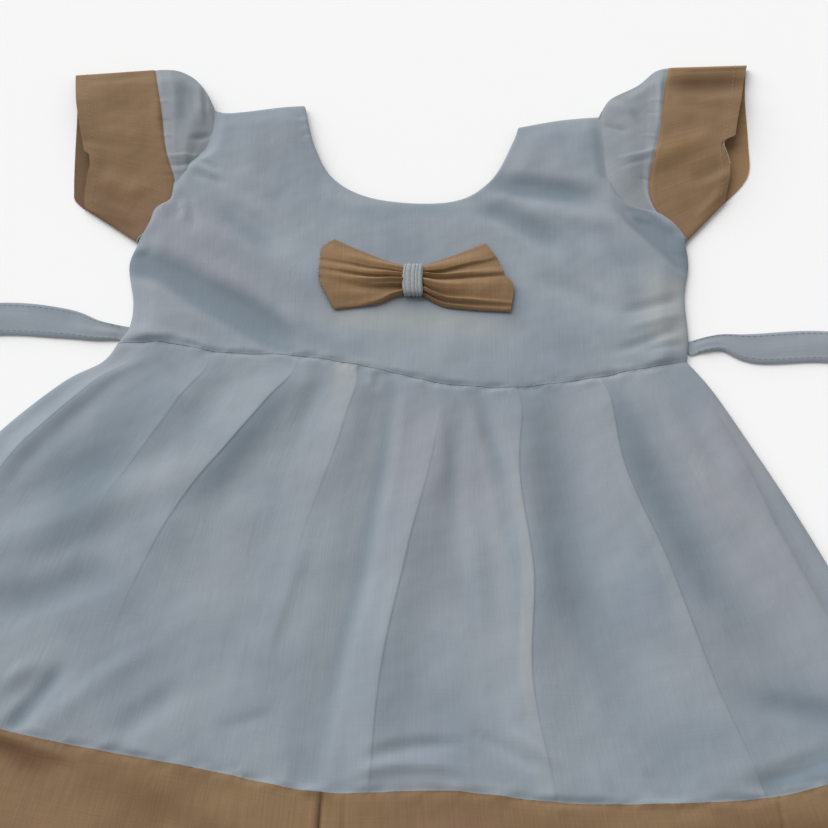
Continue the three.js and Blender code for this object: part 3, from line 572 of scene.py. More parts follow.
def smooth(value):
    share = np.clip(value, 0, 1)
    return share * share * (3 - 2 * share)


def roll(value):
    """A quarter of a round edge: 0 at its rim and 1 where the cloth lies level."""
    share = np.clip(value, 0, 1)
    return np.sqrt(1 - (1 - share) ** 2)


def mix(a, b, share):
    return a + (b - a) * share


def spline(knots, steps):
    """Points of a smooth line through the knots, at steps that count from one knot to the next."""
    first = np.minimum(steps.astype(int), len(knots) - 2)
    w = (steps - first)[:, None]
    before, a, b, after = (knots[np.clip(first + k, 0, len(knots) - 1)] for k in (-1, 0, 1, 2))
    slope_a, slope_b = (b - before) / 2, (after - a) / 2
    cubic = 2 * a - 2 * b + slope_a + slope_b
    square = 3 * b - 3 * a - 2 * slope_a - slope_b
    return cubic * w**3 + square * w**2 + slope_a * w + a


class Line:
    """A smooth line through a table's points, read by its share of length."""

    DIVISIONS = 400
    REACH = 0.004  # share of the length ahead and behind from which a direction is read

    def __init__(self, rows):
        knots = np.array(rows, float)
        self.points = spline(knots, np.linspace(0, len(knots) - 1, self.DIVISIONS + 1))
        self.measure()

    def measure(self):
        """Works out the length and each point's share of it."""
        spans = np.linalg.norm(np.diff(self.points[:, :2], axis=0), axis=1)
        run = np.concatenate([[0], np.cumsum(spans)])
        self.length = run[-1]
        self.shares = run / run[-1]

    def at(self, share):
        share = np.clip(share, 0, 1)
        return np.stack([np.interp(share, self.shares, column) for column in self.points.T], -1)

    def tangent(self, share):
        ahead = self.at(np.minimum(share + self.REACH, 1))[..., :2]
        behind = self.at(np.maximum(share - self.REACH, 0))[..., :2]
        way = ahead - behind
        return way / np.linalg.norm(way, axis=-1, keepdims=True)


class Lines(Line):
    """Several lines in a row, read as one by its share of length."""

    STEP = 0.25  # between the points of a line whose corners are rounded

    def __init__(self, *lines, corner=0.0):
        self.points = np.concatenate([line.points for line in lines])
        self.measure()
        if corner:
            self.round_corners(corner)
            self.measure()

    def round_corners(self, corner):
        """Takes the sharpness off the corners between the lines."""
        even = self.at(np.linspace(0, 1, int(self.length / self.STEP)))
        reach = int(corner / self.STEP)
        padded = np.concatenate([np.repeat(even[:1], reach, 0), even, np.repeat(even[-1:], reach, 0)])
        kernel = np.ones(2 * reach + 1) / (2 * reach + 1)
        eased = np.stack([np.convolve(column, kernel, "valid") for column in padded.T], -1)
        eased[0], eased[-1] = even[0], even[-1]
        self.points = eased


def straight(start, end):
    return Line([start, end])


def patch(start, end, left, right):
    """A function that fills in between four edges that meet at their ends."""

    def place(across, along):
        s, t = across[..., None], along[..., None]
        ruled = mix(start(across), end(across), t) + mix(left(along), right(along), s)
        corners = [edge(np.array(share, float)) for edge in (start, end) for share in (0, 1)]
        return ruled - mix(mix(corners[0], corners[1], s), mix(corners[2], corners[3], s), t)

    return place


def distance_to(line, x, y):
    """How far points lie from a line, of which every fourth point is taken."""
    nearest = np.full(x.shape, np.inf)
    ends = line.points[::4, :2]
    for a, b in zip(ends[:-1], ends[1:]):
        way = b - a
        share = np.clip(((x - a[0]) * way[0] + (y - a[1]) * way[1]) / (way @ way + 1e-9), 0, 1)
        nearest = np.minimum(nearest, np.hypot(x - a[0] - way[0] * share, y - a[1] - way[1] * share))
    return nearest


def relief(rows, x, y):
    """Height that a table of creases gives to points."""
    total = np.zeros(x.shape)
    for row in rows:
        way = np.array([row.x1 - row.x0, row.y1 - row.y0], float)
        length = np.hypot(*way)
        along = ((x - row.x0) * way[0] + (y - row.y0) * way[1]) / length**2
        beside = ((y - row.y0) * way[0] - (x - row.x0) * way[1]) / length - row.bow * 4 * along * (1 - along)
        width = np.where(beside > 0, row.left, row.right)
        fade = smooth(along / CREASE_END) * smooth((1 - along) / CREASE_END)
        total += row.rise * smooth(1 - np.abs(beside) / width) * fade
    return total


# Slow unevenness of cloth that has been worn: waves with their length, direction in degrees and start
Wave = namedtuple("Wave", "length turn start")
WAVES = [
    Wave(61, 17, 0.4), Wave(43, 74, 2.1), Wave(35, 131, 3.3), Wave(27, 48, 5.2),
    Wave(21, 103, 1.2), Wave(15, 160, 4), Wave(11, 24, 2.6), Wave(8, 118, 0.9),
]
WAVE_BEND = 1.7  # how far the crests bend to and fro, as a phase
WAVE_CROWD = 1.6  # how high they stand together, in heights of the longest


def unevenness(x, y, rise):
    """Height of all the waves together, scaled to a rise."""
    total = np.zeros(x.shape)
    for wave in WAVES:
        turn = math.radians(wave.turn)
        run = x * math.cos(turn) + y * math.sin(turn)
        side = y * math.cos(turn) - x * math.sin(turn)
        phase = run * 2 * math.pi / wave.length + wave.start
        total += wave.length * np.sin(phase + WAVE_BEND * np.sin(side / wave.length))
    return rise * total / WAVES[0].length / WAVE_CROWD


FOOT = 2.5  # how tightly a soft floor turns, per millimetre


def soft_floor(height, level):
    """Keeps a height above a level with a round foot."""
    return level + np.logaddexp(0, (height - level) * FOOT) / FOOT


def spaced(length, step, fine, count):
    """Shares of a length, close together at both ends and a step apart between."""
    rim = np.cumsum(np.geomspace(fine, step, count))
    inner = np.arange(rim[-1], length - rim[-1], step)
    inner = np.linspace(rim[-1], length - rim[-1], len(inner) + 1)
    places = np.concatenate([[0], rim[:-1], inner, length - rim[:-1][::-1], [length]])
    return places / length


# Meshes

def normals_of(face, closed):
    """Directions square to a grid of points, with its columns joined round if it is closed."""
    if closed:
        around = np.concatenate([face[:, -1:], face, face[:, :1]], 1)
        across = around[:, 2:] - around[:, :-2]
    else:
        across = np.gradient(face, axis=1)
    along = np.gradient(face, axis=0)
    square = np.cross(across, along)
    return square / (np.linalg.norm(square, axis=-1, keepdims=True) + 1e-12)


GRIDS = {}  # the face of each cloth made, for the sewing that follows it
SHARP_EDGE = 62  # degrees between two faces at which their edge looks hard


def cloth_mesh(name, face, up, uv, thickness=CLOTH, closed=False, doubled=None):
    """A thin closed wall of cloth under a grid of points.

    Up says which way its face looks a quarter of the way across, which on a tube is the middle of
    its upper layer. Doubled is each point's tone, from -1 to 1: below 0 a single layer and painted shade,
    above 0 doubled cloth and painted highlight.
    """
    rows, columns = face.shape[:2]
    normal = normals_of(face, closed)
    if np.dot(normal[rows // 2, columns // 4], up) < 0:
        normal = -normal
    under = face - normal * thickness
    GRIDS[name] = face
    index = np.arange(rows * columns).reshape(rows, columns)
    if closed:
        index = np.concatenate([index, index[:, :1]], 1)
    a, b, c, d = index[:-1, :-1], index[:-1, 1:], index[1:, 1:], index[1:, :-1]
    top = np.stack([a, b, c, d], -1).reshape(-1, 4)
    shift = rows * columns
    bottom = top[:, ::-1] + shift
    rims = [(index[0, :-1], index[0, 1:], False), (index[-1, :-1], index[-1, 1:], True)]
    if not closed:
        rims += [(index[:-1, 0], index[1:, 0], True), (index[:-1, -1], index[1:, -1], False)]
    faces = [top, bottom]
    for first, second, turned in rims:
        quad = np.stack([second, first, first + shift, second + shift], -1)
        faces.append(quad[:, ::-1] if turned else quad)
    faces = np.concatenate(faces)
    points = np.concatenate([face.reshape(-1, 3), under.reshape(-1, 3)]) * MM
    corner = points[faces]
    volume = np.einsum("ij,ij->", corner[:, 0], np.cross(corner[:, 1], corner[:, 2]))
    volume += np.einsum("ij,ij->", corner[:, 0], np.cross(corner[:, 2], corner[:, 3]))
    if volume < 0:
        faces = faces[:, ::-1]
    mesh = bpy.data.meshes.new(name)
    mesh.from_pydata(points.tolist(), [], faces.tolist())
    mesh.shade_smooth()
    mesh.set_sharp_from_angle(angle=math.radians(SHARP_EDGE))
    both = np.concatenate([uv.reshape(-1, 2), uv.reshape(-1, 2)]) * MM
    layer = mesh.uv_layers.new(name="Cloth")
    layer.data.foreach_set("uv", both[faces.ravel()].astype(np.float32).ravel())
    tint = np.zeros(rows * columns) if doubled is None else np.clip(doubled.ravel(), -1, 1)
    attribute = mesh.attributes.new("doubled", "FLOAT", "POINT")
    attribute.data.foreach_set("value", np.tile(tint, 2).astype(np.float32))
    return add_object(name, mesh)


def add_object(name, mesh):
    piece = bpy.data.objects.new(name, mesh)
    bpy.context.scene.collection.objects.link(piece)
    return piece


def settle(piece, material, node=None):
    """Gives a finished piece its material and its body, and hides the solid that it stands for."""
    piece.data.materials.clear()
    piece.data.materials.append(material)
    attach(piece, "root")
    if node:
        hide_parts(node)
    return piece


def plan_area(*lines):
    """Area inside an outline of lines that follow on from each other, in square millimetres."""
    outline = np.concatenate([line.at(np.linspace(0, 1, 60)) for line in lines])
    x, y = outline[:, 0], outline[:, 1]
    return abs(np.sum(x * np.roll(y, -1) - y * np.roll(x, -1))) / 2


# Skirt

waist, band_seam, hem = Line(WAIST), Line(BAND_SEAM), Line(HEM)
skirt_left, skirt_right = Line(SKIRT_LEFT), Line(SKIRT_RIGHT)
skirt_plan = patch(waist.at, band_seam.at, skirt_left.at, skirt_right.at)
band_sides = [straight(BAND_SEAM[0], HEM[0]), straight(BAND_SEAM[-1], HEM[-1])]
SKIRT_CUT = (470, 200)  # the rectangle that is pleated into the waist, with its turnings
BAND_CUT = (470, 62)
HEM_DEPTH = 57  # of the hem band, as its rows are counted


def along_fold(values, t):
    """A fold's value at shares of the skirt's length."""
    knots = np.array(values, float)[:, None]
    return spline(knots, np.clip(t, 0, 1).ravel() * (len(STATIONS) - 1))[:, 0].reshape(t.shape)


def fold_height(fold, distance, rise):
    """Height of a fold at a distance to the right of its line."""
    if fold.kind == "soft":
        return rise * smooth(1 - np.abs(distance) / np.where(distance < 0, fold.left, fold.right))
    near = np.clip(1 + distance / fold.left, 0, 1)
    before = rise * (PLEAT_SWELL * smooth(near) + (1 - PLEAT_SWELL) * near**PLEAT_GATHER)
    slope = 1 - smooth(distance / (SLOPE_REACH * fold.right))
    valley = np.sin(math.pi * np.clip(distance / (2 * SLOPE_REACH * fold.right), 0, 1)) ** 2
    lip = PLEAT_STEP * (1 - smooth(distance / LIP))
    after = rise * ((1 - PLEAT_STEP) * slope + lip - PLEAT_TROUGH * valley)
    return np.where(distance <= 0, before, after)


def skirt_width(t):
    return np.linalg.norm(skirt_right.at(t) - skirt_left.at(t), axis=-1)


def skirt_height(s, t, beyond):
    """Rise of the skirt's front over its lowest face. Beyond is the share of the hem band."""
    width = skirt_width(t)
    opening = mix(WAIST_PINCH, 1, smooth((t + beyond) / PINCH_DEPTH))
    opening = opening * mix(1, SEAM_CALM, smooth((t - CALM_FROM) / (1 - CALM_FROM)))
    opening = opening * mix(1, BAND_CALM, smooth(beyond / BAND_FADE))
    edge = smooth(np.minimum(s, 1 - s) * width / SKIRT_EDGE)
    folds = np.zeros(s.shape)
    for fold in SKIRT_FOLDS:
        distance = (s - along_fold(fold.places, t)) * width
        folds += fold_height(fold, distance, along_fold(fold.rises, t))
    return SKIRT_LOFT * edge + folds * opening * edge


def skirt_layers_and_light(s, t):
    """How light the sheer cloth looks: above 0 where it lies doubled and along the painted highlight of soft
    ridges, below 0 in the painted shade beside pleats and along soft troughs.
    """
    width = skirt_width(t)
    total = np.zeros(s.shape)
    for fold in SKIRT_FOLDS:
        distance = (s - along_fold(fold.places, t)) * width
        tint = along_fold(fold.tint, t)
        # Soft folds: painted shade along troughs, painted highlight along ridges.
        if fold.kind == "soft":
            total += tint * smooth(1 - np.abs(distance) / fold.strip)
        else:
            strip = smooth(STRIP_EDGE * (1 + distance / fold.strip)) * (distance < STRIP_OVER)
            # Right of a pleat's edge lies painted shade, darker for a taller pleat.
            shade = smooth(1 - distance / (SHADE_REACH * fold.right)) * (distance >= STRIP_OVER)
            total += STRIP_TONE * tint * strip - SHADE_TONE * along_fold(fold.rises, t) * shade
    return total


# Columns of the skirt's grid beside a pleat's edge, in millimetres to its right, and how far from it
# the even columns keep
LIP_COLUMNS = [-1.5, -0.6, 0.0, 0.25, 0.5, 0.75, 1.0, 1.6]
LIP_MARGIN = 2


def skirt_grid(t, beyond, step):
    """Shares across and heights of the skirt's front for rows at t, with columns along each pleat."""
    t_rows, beyond_rows = t[:, None], beyond[:, None]
    width = skirt_width(t_rows)
    pleats = [along_fold(fold.places, t_rows) for fold in SKIRT_FOLDS if fold.kind == "pleat"]
    edges = [np.zeros_like(t_rows)] + pleats + [np.ones_like(t_rows)]
    last = len(pleats)
    columns = []
    for k in range(last + 1):
        low = edges[k] + (LIP_MARGIN / width if k else 0)
        high = edges[k + 1] - (LIP_MARGIN / width if k < last else 0)
        reach = float((high - low)[len(t) // 2, 0] * skirt_width(np.array(0.5)))
        shares = np.linspace(0, 1, max(3, round(reach / step)))
        if k in (0, last):
            rim = spaced(reach, step, fine=0.5, count=5)
            near, far = (rim, shares) if k == 0 else (shares, rim)
            shares = np.concatenate([near[near < 0.5], far[far >= 0.5]])
        columns += [mix(low, high, share) for share in shares]
        if k < last:
            columns += [edges[k + 1] + offset / width for offset in LIP_COLUMNS]
    s = np.concatenate(columns, 1)
    return s, skirt_height(s, t_rows, beyond_rows)


def dip(face, x, y, line):
    """Brings the cloth on both sides of a seam across the front to one height, with small puckers."""
    ends = line.points[[0, -1], 0]
    edge = smooth(np.minimum(x - ends[0], ends[1] - x) / SKIRT_EDGE)
    away = distance_to(line, x, y)
    level = FRONT_FACE + SKIRT_LOFT * edge - SEAM_DIP * mix(SEAM_ENDS, 1, edge)
    pucker = unevenness(x * PUCKER_FINENESS, y * PUCKER_FINENESS, PUCKER)
    pucker = pucker * smooth(1 - away / PUCKER_REACH) * edge
    return mix(level, face, smooth(away / SEAM_ROLL)) + pucker


def turn_down(face, x, y, line, level, width):
    """Brings cloth down to a level at a line, over a round edge."""
    return mix(level, face, roll(distance_to(line, x, y) / width))


def finish_front(plan, height, uneven, seams, sides):
    """Puts the height of a front panel on its plan, turned down at its seams and side seams."""
    x, y = plan[..., 0], plan[..., 1]
    z = soft_floor(FRONT_FACE + height + unevenness(x, y, uneven), FRONT_FACE + 0.1)
    for seam in seams:
        z = dip(z, x, y, seam)
    for side in sides:
        z = turn_down(z, x, y, side, SIDE_SEAM, EDGE_ROLL)
    return np.dstack([x, y, z])


def skirt_front():
    t = spaced(skirt_left.length, step=1.7, fine=0.35, count=6)
    s, height = skirt_grid(t, np.zeros_like(t), step=1.75)
    rows = np.broadcast_to(t[:, None], s.shape)
    plan = skirt_plan(s, rows)
    x, y = plan[..., 0], plan[..., 1]
    height = height + relief(SKIRT_CREASES, x, y)
    face = finish_front(plan, height, SKIRT_UNEVEN, [waist, band_seam], [skirt_left, skirt_right])
    uv = np.dstack([s * SKIRT_CUT[0], (1 - rows) * SKIRT_CUT[1]])
    # Tint: the sheer cloth's layers, with painted shade and painted highlight over its folds.
    tint = skirt_layers_and_light(s, rows) + relief(SKIRT_LAYERS_AND_LIGHT, x, y)
    return cloth_mesh("skirt_front_cloth", face, (0, 0, 1), uv, doubled=tint)


def band_plan(s, t):
    return mix(band_seam.at(s), hem.at(s), t[..., None])


def band_front():
    t = spaced(HEM_DEPTH, step=1.7, fine=0.35, count=5)
    s, height = skirt_grid(np.ones_like(t), t, step=0.9)
    rows = np.broadcast_to(t[:, None], s.shape)
    plan = band_plan(s, rows)
    x, y = plan[..., 0], plan[..., 1]
    height = height + relief(BAND_CREASES, x, y)
    face = finish_front(plan, height, FRONT_UNEVEN, [band_seam], band_sides)
    face[..., 2] = turn_down(face[..., 2], x, y, hem, FRONT_FACE, HEM_ROLL)
    uv = np.dstack([s * BAND_CUT[0], (1 - rows) * BAND_CUT[1]])
    return cloth_mesh("hem_band_front_cloth", face, (0, 0, 1), uv, doubled=relief(BAND_PAINTED_SHADE, x, y))


def back_height(x, y, sides):
    """Height of a back's underside: soft hollows pressed up into it, and its turn at the side seams."""
    z = np.maximum(0, relief(UNDER_CREASES, x, y) + unevenness(x, y, BACK_UNEVEN))
    for side in sides:
        z = turn_down(z, x, y, side, SIDE_SEAM - CLOTH, EDGE_ROLL)
    return z


def back_panel(name, plan, rows, cut, sides):
    """A back panel of the skirt or its band, which lies on the table."""
    s, t = np.meshgrid(spaced(450, step=4, fine=0.6, count=6), rows)
    place = plan(s, t)
    x, y = place[..., 0], place[..., 1]
    face = np.dstack([x, y, back_height(x, y, sides)])
    uv = np.dstack([s * cut[0], (1 - t) * cut[1]])
    return cloth_mesh(name, face, (0, 0, -1), uv)


def skirt_back():
    rows = spaced(190, step=4, fine=0.8, count=4)
    return back_panel("skirt_back_cloth", skirt_plan, rows, SKIRT_CUT, [skirt_left, skirt_right])


def band_back():
    rows = spaced(HEM_DEPTH, step=3, fine=0.8, count=4)
    return back_panel("hem_band_back_cloth", band_plan, rows, BAND_CUT, band_sides)


# Bodice

side_left, side_right = Line(SIDE_LEFT), Line(SIDE_RIGHT)
armhole_left, armhole_right = Line(ARMHOLE_LEFT), Line(ARMHOLE_RIGHT)
shoulder_left, shoulder_right = Line(SHOULDER_LEFT), Line(SHOULDER_RIGHT)
neckline = Line(NECKLINE)


def bodice_plan():
    """Grid of the bodice's front: its sides run up the side seams and the armholes, and its top along
    the shoulders and the neckline."""
    left, right = Lines(side_left, armhole_left), Lines(side_right, Line(ARMHOLE_RIGHT[::-1]))
    top = Lines(shoulder_left, neckline, shoulder_right, corner=2.4)
    columns, rows = spaced(280, step=1.7, fine=0.35, count=6), spaced(165, step=1.7, fine=0.3, count=6)
    return patch(waist.at, top.at, left.at, right.at)(*np.meshgrid(columns, rows))


def bodice_height(x, y):
    """Height of the bodice's front before its edges turn down."""
    sides = np.minimum(distance_to(side_left, x, y), distance_to(side_right, x, y))
    shoulder = np.minimum(distance_to(shoulder_left, x, y), distance_to(shoulder_right, x, y))
    neck = distance_to(neckline, x, y)
    loft = smooth(sides / BODICE_EDGE) * (1 - SHOULDER_CALM * smooth(1 - shoulder / BODICE_EDGE))
    loft = BODICE_LOFT * loft * (1 - NECK_CALM * smooth(1 - neck / BODICE_EDGE))
    folds = relief(BODICE_CREASES, x, y) + unevenness(x, y, FRONT_UNEVEN)
    return soft_floor(FRONT_FACE + loft + folds, FRONT_FACE)


def bodice_front():
    plan = bodice_plan()
    x, y = plan[..., 0], plan[..., 1]
    z = dip(bodice_height(x, y), x, y, waist)
    lap = np.minimum(distance_to(armhole_left, x, y), distance_to(armhole_right, x, y))
    z = np.maximum(z, (ARMHOLE_LEVEL + LAP_RISE) * smooth(2 - lap / LAP_REACH))
    for side in (side_left, side_right):
        z = turn_down(z, x, y, side, SIDE_SEAM, EDGE_ROLL)
    high = smooth((y - FLUSH_FROM) / FLUSH_FADE)
    level = mix(ARMHOLE_LEVEL, FLUSH_LEVEL, high)
    for edge in (armhole_left, armhole_right):
        lapped = turn_down(z, x, y, edge, np.minimum(z, level), EDGE_ROLL)
        flush = mix(np.minimum(z, level), z, smooth(distance_to(edge, x, y) / FLUSH_WIDTH))
        z = mix(lapped, flush, high)
    for edge in (shoulder_left, shoulder_right):
        z = turn_down(z, x, y, edge, SIDE_SEAM, SHOULDER_ROLL)
    z = turn_down(z, x, y, neckline, NECK_LEVEL, NECK_ROLL)
    face = np.dstack([x, y, z])
    return cloth_mesh("bodice_front_cloth", face, (0, 0, 1), plan, doubled=relief(BODICE_LAYERS_AND_LIGHT, x, y))


def waist_share(x):
    """Share of the waist's length where it crosses a place along X."""
    shares = np.linspace(0, 1, 2001)
    return float(shares[np.argmin(np.abs(waist.at(shares)[:, 0] - x))])


def bodice_back(name, side, reach):
    """Half of the bodice's back, from its side to the slit at the centre."""
    centre = waist_share(reach)
    neck = (reach, SLIT_TOP)
    slit = Line([tuple(waist.at(centre)), (reach, SLIT_MIDDLE), neck])
    if side == "left":
        seam, outer = side_left, Lines(side_left, Line(BACK_ARMHOLE_LEFT))
        top = Lines(shoulder_left, Line(BACK_NECK_LEFT + [neck]))
        plan = patch(lambda share: waist.at(share * centre), top.at, outer.at, slit.at)
    else:
        seam, outer = side_right, Lines(side_right, Line(BACK_ARMHOLE_RIGHT[::-1]))
        top = Lines(Line([neck] + BACK_NECK_RIGHT), shoulder_right)
        plan = patch(lambda share: waist.at(mix(centre, 1, share)), top.at, slit.at, outer.at)
    columns, rows = (spaced(length, step=3.5, fine=0.8, count=4) for length in (150, 130))
    place = plan(*np.meshgrid(columns, rows))
    x, y = place[..., 0], place[..., 1]
    face = np.dstack([x, y, back_height(x, y, [seam])])
    return cloth_mesh(name, face, (0, 0, -1), place)


# Sleeves

def sleeve_tube(name, upper, lower, rings, level, rows, uv_width, tints):
    """A flattened tube of cloth: an upper and a lower layer that turn into each other at both sides.

    Upper and lower place a point at its shares of the way down and outwards. Level gives the upper
    layer's height, and how much of the creases shows. Tints are the tones of the two layers; the creases add
    painted highlight on their rises and painted shade in their troughs to the upper one.
    """
    down = spaced(ARM_WIDTH, step=1.1, fine=0.3, count=6)
    share, ring = np.meshgrid(down, rings)
    over, under = upper(share, ring), lower(share, ring)
    side = np.minimum(share, 1 - share)
    turn = roll(side * ARM_WIDTH / TUBE_TURN)
    x, y = over[..., 0], over[..., 1]
    folds = relief(rows, x, y)
    height, calm = level(share, ring)
    height = height + (folds + unevenness(x, y, SLEEVE_UNEVEN)) * smooth(side * FOLDS_FROM) * calm
    over = np.dstack([over, mix(TUBE_MIDDLE, soft_floor(height, TUBE_FACE), turn)])
    under = np.dstack([under, mix(TUBE_MIDDLE, 0, turn)])
    face = np.concatenate([over, under[:, ::-1][:, 1:-1]], 1)
    around = np.concatenate([down, 2 - down[::-1][1:-1]]) * ARM_WIDTH
    uv = np.dstack(np.broadcast_arrays(around[None, :], (rings * uv_width)[:, None]))
    tint = np.full(face.shape[:2], tints[1])
    # Painted highlight on the creases' rises and painted shade in their troughs.
    tint[:, :len(down)] = folds * CREASE_LIGHT_AND_SHADE + tints[0](ring)
    return cloth_mesh(name, face, (0, 0, 1), uv, closed=True, doubled=tint)


def sleeve_puff(share):
    return SLEEVE_PUFF * smooth(share / 0.12) * smooth((0.72 - share) / 0.3)


def seam_dip(away):
    """How far a sleeve's cloth dips at a distance from the seam between cap and band."""
    return SLEEVE_SEAM_DIP * smooth(1 - away / SLEEVE_SEAM_ROLL)


def cap_tint(ring):
    """A cap looks dark where it is one layer, and lighter at the armhole and over the seam's turning."""
    return -0.45 * smooth((ring - 0.15) / 0.25) + 0.45 * smooth((ring - 0.8) / 0.06)


def sleeve_cap(name, side):
    under_arm = straight(side["upper_armhole"][-1], side["upper_seam"][-1])
    top = Line(side["top"])

    def layer(armhole, seam):
        return patch(Line(armhole).at, Line(seam).at, top.at, under_arm.at)

    def level(share, ring):
        calm = smooth((ring - 0.1) / 0.2)
        puff = sleeve_puff(share) * smooth((ring - 0.25) / 0.35)
        return CAP_LEVEL + CAP_RISE * calm + puff - seam_dip((1 - ring) * CAP_DEPTH), calm

    upper = layer(side["upper_armhole"], side["upper_seam"])
    lower = layer(side["lower_armhole"], side["lower_seam"])
    rings = spaced(CAP_DEPTH, step=1.0, fine=0.3, count=5)
    return sleeve_tube(name, upper, lower, rings, level, side["creases"], CAP_CUT, (cap_tint, CAP_INSIDE_SHADE))


def sleeve_band(name, side):
    over = straight(side["upper_seam"][0], side["upper_cuff"][0])
    below = straight(side["upper_seam"][-1], side["upper_cuff"][-1])

    def layer(seam, cuff):
        return patch(Line(seam).at, Line(cuff).at, over.at, below.at)

    plain = layer(side["upper_seam"], side["upper_cuff"])
    places, depths = np.array(side["notch"], float).T

    def upper(share, ring):
        place = plain(share, ring)
        bite = np.interp(share, places, depths) * smooth((ring - 0.72) / 0.28)
        return place + np.dstack([-bite * np.sign(place[..., 0]), 0 * bite])

    def level(share, ring):
        gape = CUFF_GAPE * smooth((ring - 0.35) / 0.65) * smooth(share / 0.25) * smooth((1 - share) / 0.25)
        slack = BAND_SLACK * smooth((share - 0.72) / 0.28)
        puff = sleeve_puff(share) * (1 - 0.7 * smooth(ring / 0.9))
        return BAND_LEVEL + puff + gape - slack - seam_dip(ring * BAND_DEPTH), 1.0

    lower = layer(side["lower_seam"], side["lower_cuff"])
    rings = spaced(BAND_DEPTH, step=1.0, fine=0.3, count=5)
    # The lower layer seen within the cuff gets painted shade on the left and painted light on the right.
    tints = (np.zeros_like, side["inside"])
    return sleeve_tube(name, upper, lower, rings, level, side["creases"], BAND_DEPTH, tints)


# Bow

def bow_wing(name, side):
    plan = patch(*(Line(BOW[side][edge]).at for edge in ("knot", "tip", "upper", "lower")))
    columns, rows = np.linspace(0, 1, 150), spaced(42, step=0.7, fine=0.25, count=3)
    share, reach = np.meshgrid(columns, rows)
    place = plan(share, reach)
    x, y = place[..., 0], place[..., 1]
    height = BOW_LIFT * smooth(share * 4) * smooth((1 - share) * 4) * smooth(1.8 - 1.5 * reach)
    for fold in BOW_FOLDS[side]:
        centre = mix(fold.start, fold.end, reach)
        rise = mix(fold.rise_start, fold.rise_end, smooth(reach))
        width = np.where(share < centre, fold.above, fold.below) * mix(1, BOW_FAN, reach)
        height = height + rise * smooth(1 - np.abs(share - centre) / width)
    height = soft_floor(height, BOW_FLOOR)
    rim = np.minimum(share, 1 - share) * BOW_WIDTH
    seat = bodice_height(x, y) + BOW_SEAT
    z = seat + mix(BOW_EDGE, 1, roll(rim / BOW_ROLL)) * (height + BOW_CLOTH) + unevenness(x * 3, y * 3, 0.12)
    # Painted shade fills the valleys near the knot and painted highlight grows with height.
    valley = smooth(1 - height / BOW_VALLEY) * smooth(1 - 1.5 * reach)
    tint = BOW_TONE + BOW_PAINTED_HIGHLIGHT * height - BOW_PAINTED_SHADE * valley
    uv = np.dstack([x, y])
    return cloth_mesh(name, np.dstack([x, y, z]), (0, 0, 1), uv, thickness=BOW_CLOTH, doubled=tint)


def bow_knot():
    """Strands of thread wound side by side round the bow's middle."""
    width, length, height = KNOT_SIZE
    turns = np.linspace(0, 2 * math.pi, 73)[:-1]
    across = np.linspace(0, 1, KNOT_TURNS * 10 + 1)
    seat = float(bodice_height(np.array(KNOT_CENTRE[0]), np.array(KNOT_CENTRE[1]))) + BOW_SEAT
    strand = (across + 0.035 * np.sin(across * 9)) * KNOT_TURNS * math.pi
    rib = STRAND_RISE * (np.abs(np.sin(strand)) ** 0.7 - 1)
    rim = roll(np.minimum(across, 1 - across) * width / 1.2)
    swell = (rib + 0.9 * (rim - 1))[:, None]
    cosine, sine = np.cos(turns)[None], np.sin(turns)[None]
    y = KNOT_CENTRE[1] + np.sign(cosine) * np.abs(cosine) ** KNOT_SQUARE * (length / 2 + swell)
    z = seat + height / 2 + np.sign(sine) * np.abs(sine) ** KNOT_SQUARE * (height / 2 + swell * 0.9)
    sway = 0.21 * np.sin(turns * 2 + 0.6)[None] + 0.15 * np.sin(turns * 3)[None]
    x = KNOT_CENTRE[0] + (across[:, None] - 0.5) * width * (1 + 0.06 * np.sin(turns))[None] + sway
    face = np.dstack([x, y, np.maximum(z, seat)])
    uv = np.dstack(np.broadcast_arrays(turns[None] * 8, across[:, None] * width))
    return cloth_mesh("bow_knot_thread", face, (0, 0, 1), uv, thickness=0.8, closed=True)


# Ties

def tie(name, rows, twist):
    """A strip sewn to a flat tube, gathered where it leaves the side seam. Also gives its length."""
    centre = Line(rows)
    run = spaced(centre.length, step=2.2, fine=0.6, count=4)
    away = run * centre.length
    middle = centre.at(run)
    way = centre.tangent(run)
    turns = np.linspace(-1, 1, TIE_COLUMNS)
    turns = np.concatenate([turns, turns[::-1][1:-1]])
    upper = np.arange(len(turns)) < TIE_COLUMNS
    offset = turns[None] * middle[:, 2:3] / 2
    x = middle[:, 0:1] - way[:, 1:2] * offset
    y = middle[:, 1:2] + way[:, 0:1] * offset
    flat = roll((1 - np.abs(turns)) * TIE_HALF / TIE_ROLL)[None]
    gather = smooth(1 - away / TIE_GATHER)[:, None]
    pleats = 0.2 * gather * np.sin(turns * 6 + 1)[None]
    crease = mix(0.5, -0.6, smooth(run * 3))[:, None] * twist
    fold = 0.35 * smooth(1 - np.abs(turns - crease) / 0.8)
    rise = mix(TIE_START, TIE_HEIGHT, smooth(away / 9))[:, None]
    wave = 0.18 * np.sin(away / 9)[:, None] * (1 - turns**2)[None]
    top = mix(TIE_EDGE, rise - 0.5 + (pleats + fold) * smooth(rise - TIE_START) + wave, flat)
    z = np.where(upper[None], np.maximum(top, TIE_EDGE), mix(TIE_EDGE, 0, flat))
    around = np.where(upper, turns, 2 - turns) * TIE_HALF
    uv = np.dstack(np.broadcast_arrays(around[None], away[:, None]))
    piece = cloth_mesh(name, np.dstack([x, y, z]), (0, 0, 1), uv, thickness=0.35, closed=True)
    return piece, centre.length


# Materials

